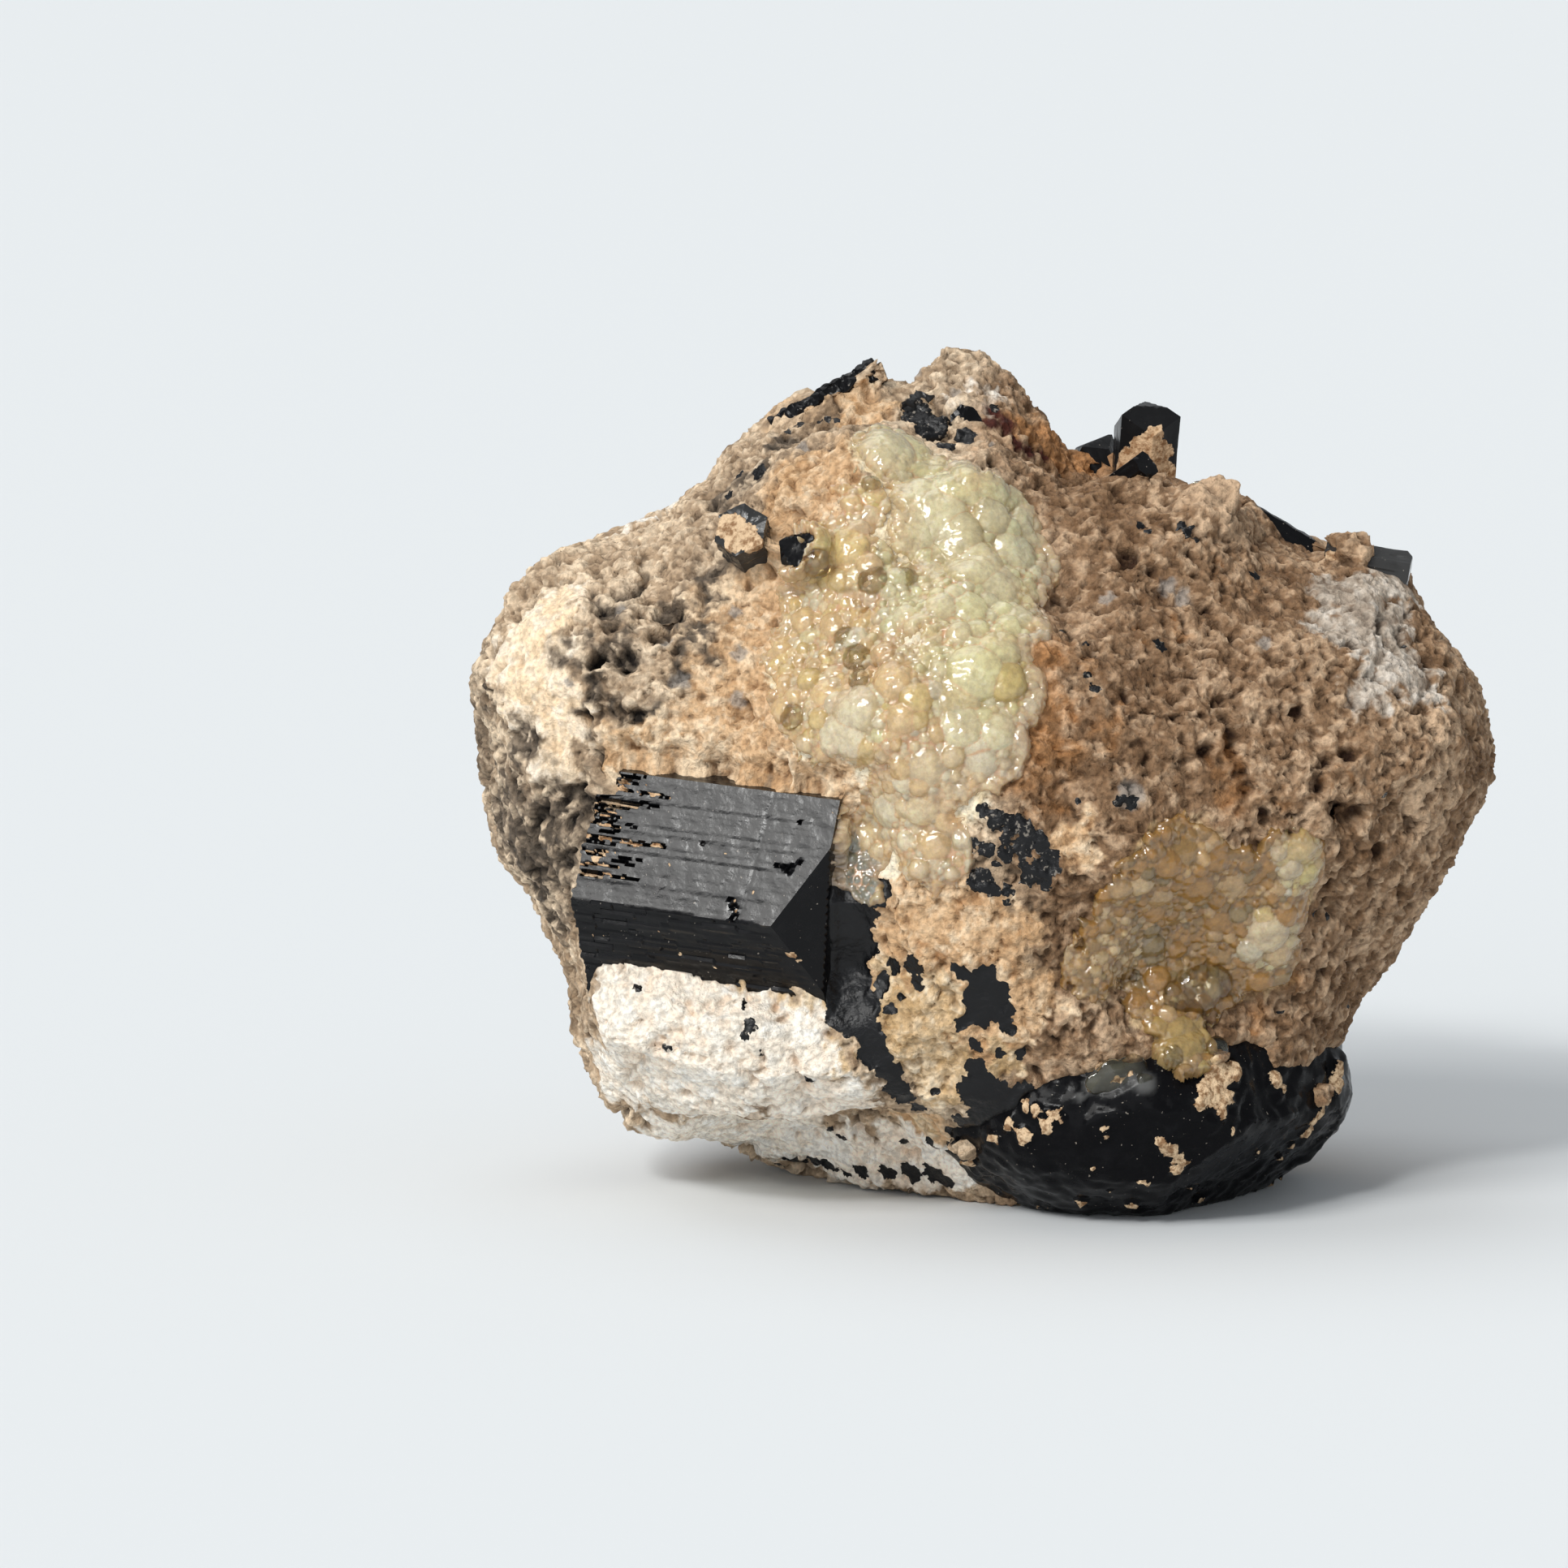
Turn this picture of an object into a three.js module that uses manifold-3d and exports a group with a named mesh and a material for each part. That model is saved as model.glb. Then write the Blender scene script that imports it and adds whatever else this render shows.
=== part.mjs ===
// Hyalite opal on schorl: a hand specimen of crumbly feldspar rock with black tourmaline crystals set in it,
// and two crusts of glassy opal beads on its front.
// Millimetres, +Z up, the front faces -Y. The origin is the middle of the footprint, on the resting plane.
import * as THREE from 'three';
import { mergeVertices } from 'three/addons/utils/BufferGeometryUtils.js';
import { ImprovedNoise } from 'three/addons/math/ImprovedNoise.js';
import Module from 'manifold-3d';

const wasm = await Module();
wasm.setup();

// Driving dimensions
const DEPTH_FRONT = 19; // from the middle plane to the front of the rock, before its lumps
const DEPTH_BACK = 19.4;
const CENTRE_HEIGHT = 24; // of the point that the rock's outline is measured from
const FULLNESS = 2.35; // 2 is an ellipsoid, more is boxier
const FIT_GAP = 0.35; // between a crystal and its socket
const MATRIX_DETAIL = 11; // subdivisions of the rock's surface
const BIG = 200; // longer than anything in the specimen
const MERGE_DISTANCE = 1e-4;

const vec = (x, y, z) => new THREE.Vector3(x, y, z);
const CENTRE = vec(0, 0, CENTRE_HEIGHT);

// Solids and geometries

function bare(geometry) {
  const copy = geometry.clone();
  copy.deleteAttribute('normal');
  copy.deleteAttribute('uv');
  return mergeVertices(copy, MERGE_DISTANCE);
}

function solidFrom(geometry) {
  const merged = bare(geometry);
  return new wasm.Manifold(new wasm.Mesh({
    numProp: 3,
    vertProperties: merged.attributes.position.array,
    triVerts: new Uint32Array(merged.index.array),
  }));
}

function geometryFrom(solid) {
  const { vertProperties, triVerts } = solid.getMesh();
  const geometry = new THREE.BufferGeometry();
  geometry.setAttribute('position', new THREE.BufferAttribute(new Float32Array(vertProperties), 3));
  geometry.setIndex(new THREE.BufferAttribute(new Uint32Array(triVerts), 1));
  geometry.computeVertexNormals();
  return geometry;
}

// Everything on the outer side of the plane through point, as a big box.
function beyondPlane(normal, point) {
  const turn = new THREE.Quaternion().setFromUnitVectors(vec(0, 0, 1), normal.clone().normalize());
  const middle = normal.clone().normalize().multiplyScalar(BIG / 2).add(point);
  const place = new THREE.Matrix4().compose(middle, turn, vec(1, 1, 1));
  return solidFrom(new THREE.BoxGeometry(BIG, BIG, BIG).applyMatrix4(place));
}

const UNDER_THE_TABLE = beyondPlane(vec(0, 0, -1), vec(0, 0, 0));

// The feldspar rock

// Its outline from the front, anticlockwise from the right-hand side: x, and height above the table.
const OUTLINE = [
  [30.6, 27.6], [30.2, 30.2], [28.5, 32.6], [27.0, 35.2], [25.6, 37.6], [22.6, 38.6], [18.6, 39.4],
  [15.6, 41.6], [11.6, 42.4], [8.0, 43.2], [5.2, 44.6], [3.8, 46.6], [1.4, 49.0], [-1.2, 50.6],
  [-4.9, 48.9], [-8.2, 48.8], [-12.8, 46.8], [-15.3, 44.4], [-15.8, 42.9], [-19.7, 40.9], [-22.8, 39.2],
  [-26.2, 38.4], [-28.8, 35.8], [-30.0, 32.4], [-30.6, 29.3], [-30.0, 26.3], [-30.7, 23.4], [-30.0, 21.2],
  [-28.0, 18.0], [-26.2, 14.6], [-25.0, 12.0], [-24.4, 9.0], [-22.9, 6.6], [-20.2, 4.2], [-16.2, 1.8],
  [-10.3, -1.0], [-0.5, -1.6], [9.3, -1.6], [17.2, 0.2], [20.6, 3.4], [21.4, 8.0], [22.8, 11.6],
  [25.0, 15.0], [27.5, 18.2], [29.8, 22.2], [30.7, 25.0],
];

const outlineByAngle = OUTLINE
  .map(([x, z]) => ({ angle: Math.atan2(z - CENTRE_HEIGHT, x), radius: Math.hypot(x, z - CENTRE_HEIGHT) }))
  .sort((a, b) => a.angle - b.angle);
const MEAN_RADIUS = outlineByAngle.reduce((sum, point) => sum + point.radius, 0) / outlineByAngle.length;

function outlineRadius(angle) {
  const after = outlineByAngle.findIndex((point) => point.angle > angle);
  const b = outlineByAngle[after === -1 ? 0 : after];
  const a = outlineByAngle[(after <= 0 ? outlineByAngle.length : after) - 1];
  const turn = (x) => (x + 2 * Math.PI) % (2 * Math.PI);
  const share = turn(angle - a.angle) / turn(b.angle - a.angle);
  return THREE.MathUtils.lerp(a.radius, b.radius, share);
}

// Lumps and hollows: where each is on the rock, how far it spreads, and how far it stands out or sinks in.
const FORMS = [
  { name: 'back peak', at: [0.4, 8.5, 48.6], spread: 5.2, out: 3 },
  { name: 'valley behind the crest', at: [-2, 0, 47], spread: 4.6, out: -6 },
  { name: 'valley, right end', at: [5, 1, 44], spread: 4.5, out: -3.4 },
  { name: 'valley, left end', at: [-11, 0, 46], spread: 4, out: -3 },
  { name: 'ridge, left end', at: [-12, 7, 46.5], spread: 3.4, out: 1.6 },
  { name: 'crest, middle', at: [-1, -6, 46], spread: 4, out: -1.5 },
  { name: 'crest, right', at: [10, -7, 41], spread: 6, out: 2.4 },
  { name: 'ridge face', at: [2, 6, 47], spread: 3.5, out: -1.2 },
  { name: 'slope under the crest', at: [0, -13, 42], spread: 9, out: -4.2 },
  { name: 'slope, left', at: [-16, -12, 38], spread: 8, out: -3 },
  { name: 'slope, right', at: [16, -12, 38], spread: 8, out: -2.5 },
  { name: 'opal spine', at: [-2, -18, 30], spread: 7, out: 1.6 },
  { name: 'left cheek', at: [-27, -9, 32], spread: 6, out: 0.9 },
  { name: 'left hollow', at: [-20, -13, 34], spread: 5, out: -1.6 },
  { name: 'crystal seat', at: [-23, -12, 23], spread: 6, out: -2.2 },
  { name: 'lip under the crystal', at: [-21.5, -12.5, 12.6], spread: 3.6, out: 2.8 },
  { name: 'undercut, front left', at: [-15, -9, -2], spread: 6.5, out: -5 },
  { name: 'beside the crystal', at: [-9, -18, 24], spread: 3.6, out: -3.2 },
  { name: 'ledge above the crystal', at: [-17, -16, 28], spread: 5, out: -3 },
  { name: 'seat of the crystal point', at: [-10, -18, 14.4], spread: 3.8, out: -3 },
  { name: 'white lobe', at: [-14.5, -16.5, 5.2], spread: 6.5, out: 2.8 },
  { name: 'left foot', at: [-20, -4, 4], spread: 5.5, out: 1.8 },
  { name: 'under the white lobe', at: [-6.5, -12, 0.5], spread: 5, out: -3.6 },
  { name: 'shelf above the lower crust', at: [7, -18, 23.5], spread: 4, out: 1.8 },
  { name: 'hollow of the lower crust', at: [12, -17, 15.5], spread: 4.5, out: -2.4 },
  { name: 'right shoulder', at: [22, -12, 29], spread: 7.5, out: 1.5 },
  { name: 'right brow', at: [25, -6, 14], spread: 5, out: 0.6 },
  { name: 'right pocket', at: [20, -14, 19], spread: 4, out: -1.2 },
  { name: 'back hollow', at: [8, 20, 28], spread: 8, out: -3 },
  { name: 'back shelf', at: [-10, 19, 17], spread: 8, out: 2 },
  { name: 'back brow', at: [-17, 14, 34], spread: 6, out: 1.5 },
  { name: 'back right lump', at: [20, 14, 16], spread: 7, out: 1.6 },
];
const forms = FORMS.map(({ at, spread, out }) => ({ towards: vec(...at).sub(CENTRE), spread, out }));

const noise = new ImprovedNoise();
const LUMPS = [
  { across: 9, out: 0.9 },
  { across: 4.4, out: 0.7 },
];
const LUMP_SHIFT = 7; // moves the lumps' pattern to one that suits the outline

// Small hollows that the weather has opened in the rock, spread evenly round it by the golden angle.
const PIT_COUNT = 120;
const PIT_SPREAD = 1.7;
const PIT_DEPTH = 0.9;
const GOLDEN_ANGLE = Math.PI * (3 - Math.sqrt(5));

function pitDirection(index) {
  const height = 1 - (2 * index + 1) / PIT_COUNT;
  const ring = Math.sqrt(1 - height * height);
  return vec(ring * Math.cos(index * GOLDEN_ANGLE), height, ring * Math.sin(index * GOLDEN_ANGLE));
}

const pits = Array.from({ length: PIT_COUNT }, (_, index) => pitDirection(index));

// How far out of the line of sight the outline starts to shape the rock, and where it shapes it fully.
const OUTLINE_FADES = 0.1;
const OUTLINE_HOLDS = 0.75;

// The point of the rock's surface that lies in a direction from its centre.
function rockPoint(direction, swell = 0) {
  const { x, y, z } = direction;
  const across = Math.hypot(x, z);
  const roundness = THREE.MathUtils.smoothstep(across, OUTLINE_FADES, OUTLINE_HOLDS);
  const radius = THREE.MathUtils.lerp(MEAN_RADIUS, outlineRadius(Math.atan2(z, x)), roundness);
  const depth = y < 0 ? DEPTH_FRONT : DEPTH_BACK;
  const fill = (across ** FULLNESS + Math.abs(y) ** FULLNESS) ** (-1 / FULLNESS);
  const point = vec(x * radius, y * depth, z * radius).multiplyScalar(fill);
  const reach = point.length();
  const outward = point.clone().normalize();
  let push = swell; // how far the surface stands out here, along the line from the centre
  for (const { towards, spread, out } of forms) {
    const apart = outward.angleTo(towards) * reach;
    push += out * Math.exp(-((apart / spread) ** 2));
  }
  for (const pit of pits) {
    const apart = outward.angleTo(pit) * reach;
    push -= PIT_DEPTH * Math.exp(-((apart / PIT_SPREAD) ** 2));
  }
  for (const { across: size, out } of LUMPS) {
    push += out * noise.noise(point.x / size + LUMP_SHIFT, point.y / size, point.z / size);
  }
  return point.addScaledVector(outward, push).add(CENTRE);
}

function rockSolid(swell = 0) {
  const sphere = bare(new THREE.IcosahedronGeometry(1, MATRIX_DETAIL));
  const position = sphere.attributes.position;
  for (let i = 0; i < position.count; i++) {
    const direction = new THREE.Vector3().fromBufferAttribute(position, i).normalize();
    position.setXYZ(i, ...rockPoint(direction, swell).toArray());
  }
  return solidFrom(sphere).subtract(UNDER_THE_TABLE);
}

// Schorl crystals: six prism faces about the crystal's axis and a three-faced point, all cut from a block.
// side is the width of a prism face, and front and back are how far the crystal reaches from its middle.
const PRISM_FACES = 6;
const POINT_FACES = 3;
const POINT_ANGLE = THREE.MathUtils.degToRad(46); // between the axis and a point face's normal

function schorl({ at, axis, facing, side, front, back, point, grow = 0 }) {
  const forward = vec(...axis).normalize();
  const face = vec(...facing).addScaledVector(forward, -forward.dot(vec(...facing))).normalize();
  const middle = vec(...at);
  const apothem = side * Math.cos(Math.PI / PRISM_FACES) + grow;
  const place = new THREE.Matrix4().setPosition(middle);
  let crystal = solidFrom(new THREE.BoxGeometry(BIG / 2, BIG / 2, BIG / 2).applyMatrix4(place));
  const cut = (normal, distance) => {
    const point = middle.clone().addScaledVector(normal, distance);
    crystal = crystal.subtract(beyondPlane(normal, point));
  };
  for (let k = 0; k < PRISM_FACES; k++) {
    cut(face.clone().applyAxisAngle(forward, (k * 2 * Math.PI) / PRISM_FACES), apothem);
  }
  for (let k = 0; k < POINT_FACES; k++) {
    const turn = Math.PI / PRISM_FACES + (k * 2 * Math.PI) / POINT_FACES;
    const sideways = face.clone().applyAxisAngle(forward, turn);
    const along = forward.clone().multiplyScalar(Math.cos(POINT_ANGLE));
    cut(along.addScaledVector(sideways, Math.sin(POINT_ANGLE)), point * Math.cos(POINT_ANGLE) + grow);
  }
  cut(forward, front + grow);
  cut(forward.clone().negate(), back + grow);
  return crystal;
}

// Each crystal: its middle, the way it points, the way one of its faces looks, and its sizes.
// point is how far along the axis the three point faces would meet. Crystals listed together grew together.
const CRYSTALS = {
  main_schorl: [{
    at: [-10.4, -11.1, 19.4], axis: [0.94, -0.3, -0.085], facing: [-0.21, -0.858, 0.371],
    side: 8, front: 2.75, back: 12.3, point: 8.4,
  }],
  standing_schorl: [{
    at: [9.9, 6.5, 42.2], axis: [0.06, -0.1, 1], facing: [-0.4, -1, 0],
    side: 2.1, front: 4.6, back: 5, point: 5.2,
  }, {
    at: [7.5, 8.7, 42.2], axis: [-0.4, 0.1, 1], facing: [0.2, -1, 0],
    side: 1.5, front: 2.2, back: 4, point: 2.9,
  }],
  crest_schorl: [{
    at: [8.5, -4.6, 43.3], axis: [0.7, -0.7, 0.6], facing: [0.3, -0.6, 1],
    side: 0.9, front: 1.7, back: 3, point: 2.4,
  }],
  right_ridge_schorl: [{
    at: [17.4, 0.5, 39.1], axis: [0.85, 0.1, -0.5], facing: [0.2, -0.9, 0.45],
    side: 1.5, front: 2.3, back: 2.6, point: 4.6,
  }],
  right_end_schorl: [{
    at: [23, -2.6, 37.3], axis: [0.96, -0.12, -0.16], facing: [-0.1, -0.94, 0.2],
    side: 1.8, front: 2.4, back: 2.8, point: 3.9,
  }],
  left_end_schorl: [{
    at: [-14.2, -9.2, 39.9], axis: [-0.2, -0.85, 0.5], facing: [0.6, 0, 1],
    side: 1.7, front: 1.8, back: 3, point: 4,
  }],
  beaded_schorl: [{
    at: [-10.4, -10.8, 38.9], axis: [-0.45, -0.8, 0.5], facing: [0.3, 0, 1],
    side: 1.3, front: 2.1, back: 3, point: 2.9,
  }],
  ridge_schorl: [{
    at: [-9.4, 5.2, 47.1], axis: [0.87, 0.1, 0.5], facing: [-0.3, -0.8, 0.5],
    side: 0.9, front: 3.6, back: 3.6, point: 4.6,
  }],
  peak_left_schorl: [{
    at: [-4.1, 5, 45.8], axis: [0.3, -0.95, 0.3], facing: [0.5, 0, 1],
    side: 1.6, front: 1.8, back: 3, point: 3.2,
  }],
  peak_right_schorl: [{
    at: [-1.2, 4, 45.3], axis: [0.1, -0.9, 0.4], facing: [1, 0, 0.4],
    side: 1.1, front: 1.8, back: 3, point: 2.8,
  }],
  back_long_schorl: [{
    at: [4, 17.7, 16], axis: [0.8, 0.15, 0.55], facing: [0.1, 1, -0.2],
    side: 2.3, front: 7.5, back: 7.5, point: 10,
  }],
  back_short_schorl: [{
    at: [-15, 15.6, 27], axis: [-0.3, 0.85, 0.4], facing: [1, 0, 0.6],
    side: 2.4, front: 4.4, back: 5, point: 6.4,
  }],
};

function cluster(crystals, grow = 0) {
  return crystals.map((sizes) => schorl({ ...sizes, grow })).reduce((joined, next) => joined.add(next));
}

// The worn mass of schorl that the rock stands on at its right: a rounded lump with a few flats rubbed on it.
const BASE_LUMP = { at: [8.6, -2.5, 6.5], radii: [13.7, 15.8, 8.2], detail: 4 };
const BASE_FLATS = [
  { name: 'front flat', facing: [0.05, -1, -0.35], at: [8, -17.2, 5] },
  { name: 'right flat', facing: [0.85, -0.6, 0.3], at: [20.2, -9, 7.5] },
  { name: 'lower right flat', facing: [0.6, -0.45, -0.8], at: [15.1, -9.8, 2.2] },
];

function baseSchorl(grow = 0) {
  const { at, radii, detail } = BASE_LUMP;
  const lump = new THREE.IcosahedronGeometry(1, detail)
    .scale(...radii.map((radius) => radius + grow))
    .translate(...at);
  let solid = solidFrom(lump);
  for (const flat of BASE_FLATS) {
    const facing = vec(...flat.facing).normalize();
    solid = solid.subtract(beyondPlane(facing, vec(...flat.at).addScaledVector(facing, grow)));
  }
  return solid.subtract(UNDER_THE_TABLE);
}

// Hyalite opal: each crust is beads that grew into each other on the rock's front.
// A bead is given by its x and its height as seen from the front, and its radius.
const UPPER_BEADS = [
  [-6.8, 44.4, 2.4], [-4.2, 44.6, 2.8], [-1.6, 43.4, 2.4], [-6.9, 41.8, 2.3], [-3.8, 41.0, 3.7],
  [-0.3, 41.8, 2.6], [2.0, 40.9, 2.3], [-1.2, 39.2, 2.9], [2.4, 38.3, 2.8], [-0.6, 36.4, 3.4],
  [2.3, 35.6, 2.8], [-3.8, 37.6, 2.5], [-6.6, 38.9, 2.3], [-8.6, 37.4, 2.3], [-3.8, 34.8, 2.6],
  [-6.4, 34.6, 2.5], [-1.4, 33.6, 2.9], [1.6, 32.6, 2.8], [-1.0, 30.6, 3.5], [1.8, 29.6, 2.4],
  [-4.4, 31.0, 2.6], [-7.3, 29.2, 2.9], [-9.3, 31.2, 2.3], [-8.4, 26.8, 2.3], [-4.7, 27.8, 2.5],
  [0.2, 27.2, 2.5], [-5.9, 25.4, 2.3], [-3.0, 25.2, 2.6], [-4.8, 22.9, 2.2], [-2.4, 22.5, 2.2],
  [-3.8, 20.6, 1.9], [-9.4, 34.4, 2.3],
];
const LOWER_BEADS = [
  [7.6, 21.3, 2.3], [10.1, 21.6, 2.4], [12.7, 21.2, 2.5], [15.2, 20.6, 2.3], [17.2, 19.0, 2.2],
  [6.6, 18.8, 2.2], [9.0, 18.8, 2.4], [11.6, 18.4, 2.5], [14.4, 18.0, 2.5], [16.6, 16.6, 2.3],
  [7.6, 16.4, 2.2], [10.4, 16.0, 2.5], [13.3, 15.4, 2.5], [15.8, 14.0, 2.2], [10.2, 13.4, 2.4],
  [12.9, 12.8, 2.8], [11.9, 11.0, 2.5],
];
const BEAD_SUNK = 0.5; // how far a bead's middle lies under the rock's surface, as a share of its radius
const BEAD_DETAIL = 1;

const rockMesh = new THREE.Mesh(geometryFrom(rockSolid()), new THREE.MeshBasicMaterial());

function frontSurface(x, z) {
  const ray = new THREE.Raycaster(vec(x, -BIG, z), vec(0, 1, 0));
  return ray.intersectObject(rockMesh)[0].point;
}

function bead([x, z, radius]) {
  const surface = frontSurface(x, z);
  const outward = surface.clone().sub(CENTRE).normalize();
  const middle = surface.addScaledVector(outward, -radius * BEAD_SUNK);
  return solidFrom(new THREE.IcosahedronGeometry(radius, BEAD_DETAIL).translate(...middle.toArray()));
}

function crust(beads) {
  return beads.map(bead).reduce((joined, next) => joined.add(next));
}

// Finishes
const FELDSPAR = new THREE.MeshStandardMaterial({ color: 0xb2977a, roughness: 0.92, metalness: 0 });
const SCHORL = new THREE.MeshStandardMaterial({ color: 0x17171a, roughness: 0.22, metalness: 0 });
const HYALITE = new THREE.MeshStandardMaterial({ color: 0xd8cf9d, roughness: 0.1, metalness: 0 });

function named(name, solid, material) {
  const mesh = new THREE.Mesh(geometryFrom(solid), material);
  mesh.name = name;
  return mesh;
}

// Putting it together: crystals sit in sockets in the rock, and the opal lies on both.
const specimen = new THREE.Group();

let rock = rockSolid();
let taken = rockSolid(FIT_GAP).add(baseSchorl(FIT_GAP)); // what the opal keeps clear of
rock = rock.subtract(baseSchorl(FIT_GAP));
const schorls = [['base_schorl', baseSchorl()]];
for (const [name, crystals] of Object.entries(CRYSTALS)) {
  const socket = cluster(crystals, FIT_GAP);
  rock = rock.subtract(socket);
  taken = taken.add(socket);
  schorls.push([name, cluster(crystals).subtract(baseSchorl(FIT_GAP))]);
}

specimen.add(named('feldspar_matrix', rock, FELDSPAR));
for (const [name, solid] of schorls) {
  specimen.add(named(name, solid, SCHORL));
}
specimen.add(named('upper_hyalite_crust', crust(UPPER_BEADS).subtract(taken), HYALITE));
specimen.add(named('lower_hyalite_crust', crust(LOWER_BEADS).subtract(taken), HYALITE));

export default specimen;
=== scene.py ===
# Hyalite opal on schorl: a crumbly feldspar rock with black tourmaline crystals grown in it, and two crusts of
# glassy opal beads on its front. Lengths here are in millimetres, and become metres where a mesh is made.
import math
import random

import bmesh
import bpy
import numpy as np
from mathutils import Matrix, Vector, noise
from mathutils.bvhtree import BVHTree


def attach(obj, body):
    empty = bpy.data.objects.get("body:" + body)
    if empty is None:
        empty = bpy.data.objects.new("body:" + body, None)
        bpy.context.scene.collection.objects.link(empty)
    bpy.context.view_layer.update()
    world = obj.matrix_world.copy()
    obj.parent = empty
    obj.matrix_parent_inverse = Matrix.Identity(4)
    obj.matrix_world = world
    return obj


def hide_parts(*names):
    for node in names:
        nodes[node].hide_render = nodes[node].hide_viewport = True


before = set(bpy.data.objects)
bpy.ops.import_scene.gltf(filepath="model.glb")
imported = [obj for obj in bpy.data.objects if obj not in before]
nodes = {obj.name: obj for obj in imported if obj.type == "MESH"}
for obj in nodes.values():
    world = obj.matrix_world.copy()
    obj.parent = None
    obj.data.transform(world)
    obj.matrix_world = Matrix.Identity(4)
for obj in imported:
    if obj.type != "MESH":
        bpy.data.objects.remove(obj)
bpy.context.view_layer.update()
MM = 0.001

# The table and the light: a pale matt sheet, a large soft light from the upper left of the front, weaker ones from
# above and in front, and an even pale room. The camera stands a little above the specimen's middle, about half a
# metre in front of it.
CAMERA_AT = Vector((-12, -462, 85.1))
CAMERA_LOOKS_AT = Vector((-12, 0, 24.3))
LENS = 177.1
SENSOR = 36


def added(name, data):
    """A new object in the scene."""
    thing = bpy.data.objects.new(name, data)
    bpy.context.scene.collection.objects.link(thing)
    return thing


camera = added("camera", bpy.data.cameras.new("camera"))
camera.data.lens = LENS
camera.data.sensor_width = SENSOR
camera.location = CAMERA_AT * MM
camera.rotation_euler = (CAMERA_LOOKS_AT - CAMERA_AT).to_track_quat("-Z", "Y").to_euler()
bpy.context.scene.camera = camera
bpy.context.scene.view_settings.view_transform = "Standard"

SUNS = [
    {"name": "key_light", "towards": (-0.52, -0.56, 0.66), "power": 1.5, "spread": 24, "colour": (1.0, 0.985, 0.96)},
    {"name": "spark_light", "towards": (-0.35, -0.7, 0.64), "power": 0.85, "spread": 8, "colour": (1.0, 1.0, 0.98)},
    {"name": "top_light", "towards": (-0.25, 0.3, 0.9), "power": 0.7, "spread": 50, "colour": (1.0, 1.0, 1.0)},
    {"name": "fill_light", "towards": (-0.35, -1, 0.03), "power": 0.9, "spread": 60, "colour": (0.95, 0.97, 1.0)},
]
for sun in SUNS:
    light = bpy.data.lights.new(sun["name"], "SUN")
    light.energy = sun["power"]
    light.angle = math.radians(sun["spread"])
    light.color = sun["colour"]
    added(sun["name"], light).rotation_euler = Vector(sun["towards"]).to_track_quat("Z", "Y").to_euler()

ROOM_COLOUR = (0.86, 0.9, 0.93)
ROOM_POWER = 0.4
world = bpy.data.worlds.new("room")
world.use_nodes = True
world.node_tree.nodes["Background"].inputs["Color"].default_value = (*ROOM_COLOUR, 1)
world.node_tree.nodes["Background"].inputs["Strength"].default_value = ROOM_POWER
bpy.context.scene.world = world

TABLE_SIDE = 12000
TABLE_COLOUR = (0.772, 0.8, 0.819)


def finish(name, colour=(0.8, 0.8, 0.8), roughness=0.8, specular=0.5, **inputs):
    """A new material with its inputs' values, its node tree and its Principled shader."""
    material = bpy.data.materials.new(name)
    material.use_nodes = True
    shader = material.node_tree.nodes["Principled BSDF"]
    inputs |= {"Base_Color": (*colour, 1), "Roughness": roughness, "Specular_IOR_Level": specular}
    for socket, value in inputs.items():
        shader.inputs[socket.replace("_", " ")].default_value = value
    return material, material.node_tree, shader


def feed(tree, socket, value):
    """Gives a socket a value, or links it to another socket."""
    if isinstance(value, bpy.types.NodeSocket):
        tree.links.new(value, socket)
    else:
        socket.default_value = value


def put(tree, kind, settings=(), **inputs):
    """Adds a node: settings are its properties, and inputs its sockets, each a value or a socket to link."""
    node = tree.nodes.new(kind)
    for name, value in dict(settings).items():
        setattr(node, name, value)
    for name, value in inputs.items():
        feed(tree, node.inputs[name.replace("_", " ")], value)
    return node


def bump(tree, shader, strength, depth, height):
    """Bumps a finish by a height of 0 to 1, depth millimetres deep."""
    node = put(tree, "ShaderNodeBump", Strength=strength, Distance=depth * MM, Height=height)
    tree.links.new(node.outputs["Normal"], shader.inputs["Normal"])


def mesh_of(name, points, faces, masks=()):
    """A new mesh from points and faces. masks are numbers or colours for each of its points."""
    data = bpy.data.meshes.new(name)
    data.from_pydata(np.asarray(points).tolist(), [], faces)
    for mask_name, values in dict(masks).items():
        if np.ndim(values) == 1:
            data.attributes.new(mask_name, "FLOAT", "POINT").data.foreach_set("value", values)
        else:
            colours = np.column_stack([values, np.ones(len(values))])
            data.attributes.new(mask_name, "FLOAT_COLOR", "POINT").data.foreach_set("color", colours.ravel())
    return data


table_finish, table_tree, table_shader = finish("table_sheet", TABLE_COLOUR, roughness=0.9, specular=0.1)
sheet_grain = put(table_tree, "ShaderNodeTexNoise", Scale=300.0, Detail=2.0)
bump(table_tree, table_shader, 0.02, 0.2, sheet_grain.outputs["Fac"])
half = TABLE_SIDE / 2 * MM
table_corners = [(-half, -half, 0), (half, -half, 0), (half, half, 0), (-half, half, 0)]
table_data = mesh_of("table", table_corners, [(0, 1, 2, 3)])
table_data.materials.append(table_finish)
added("table", table_data)

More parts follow.
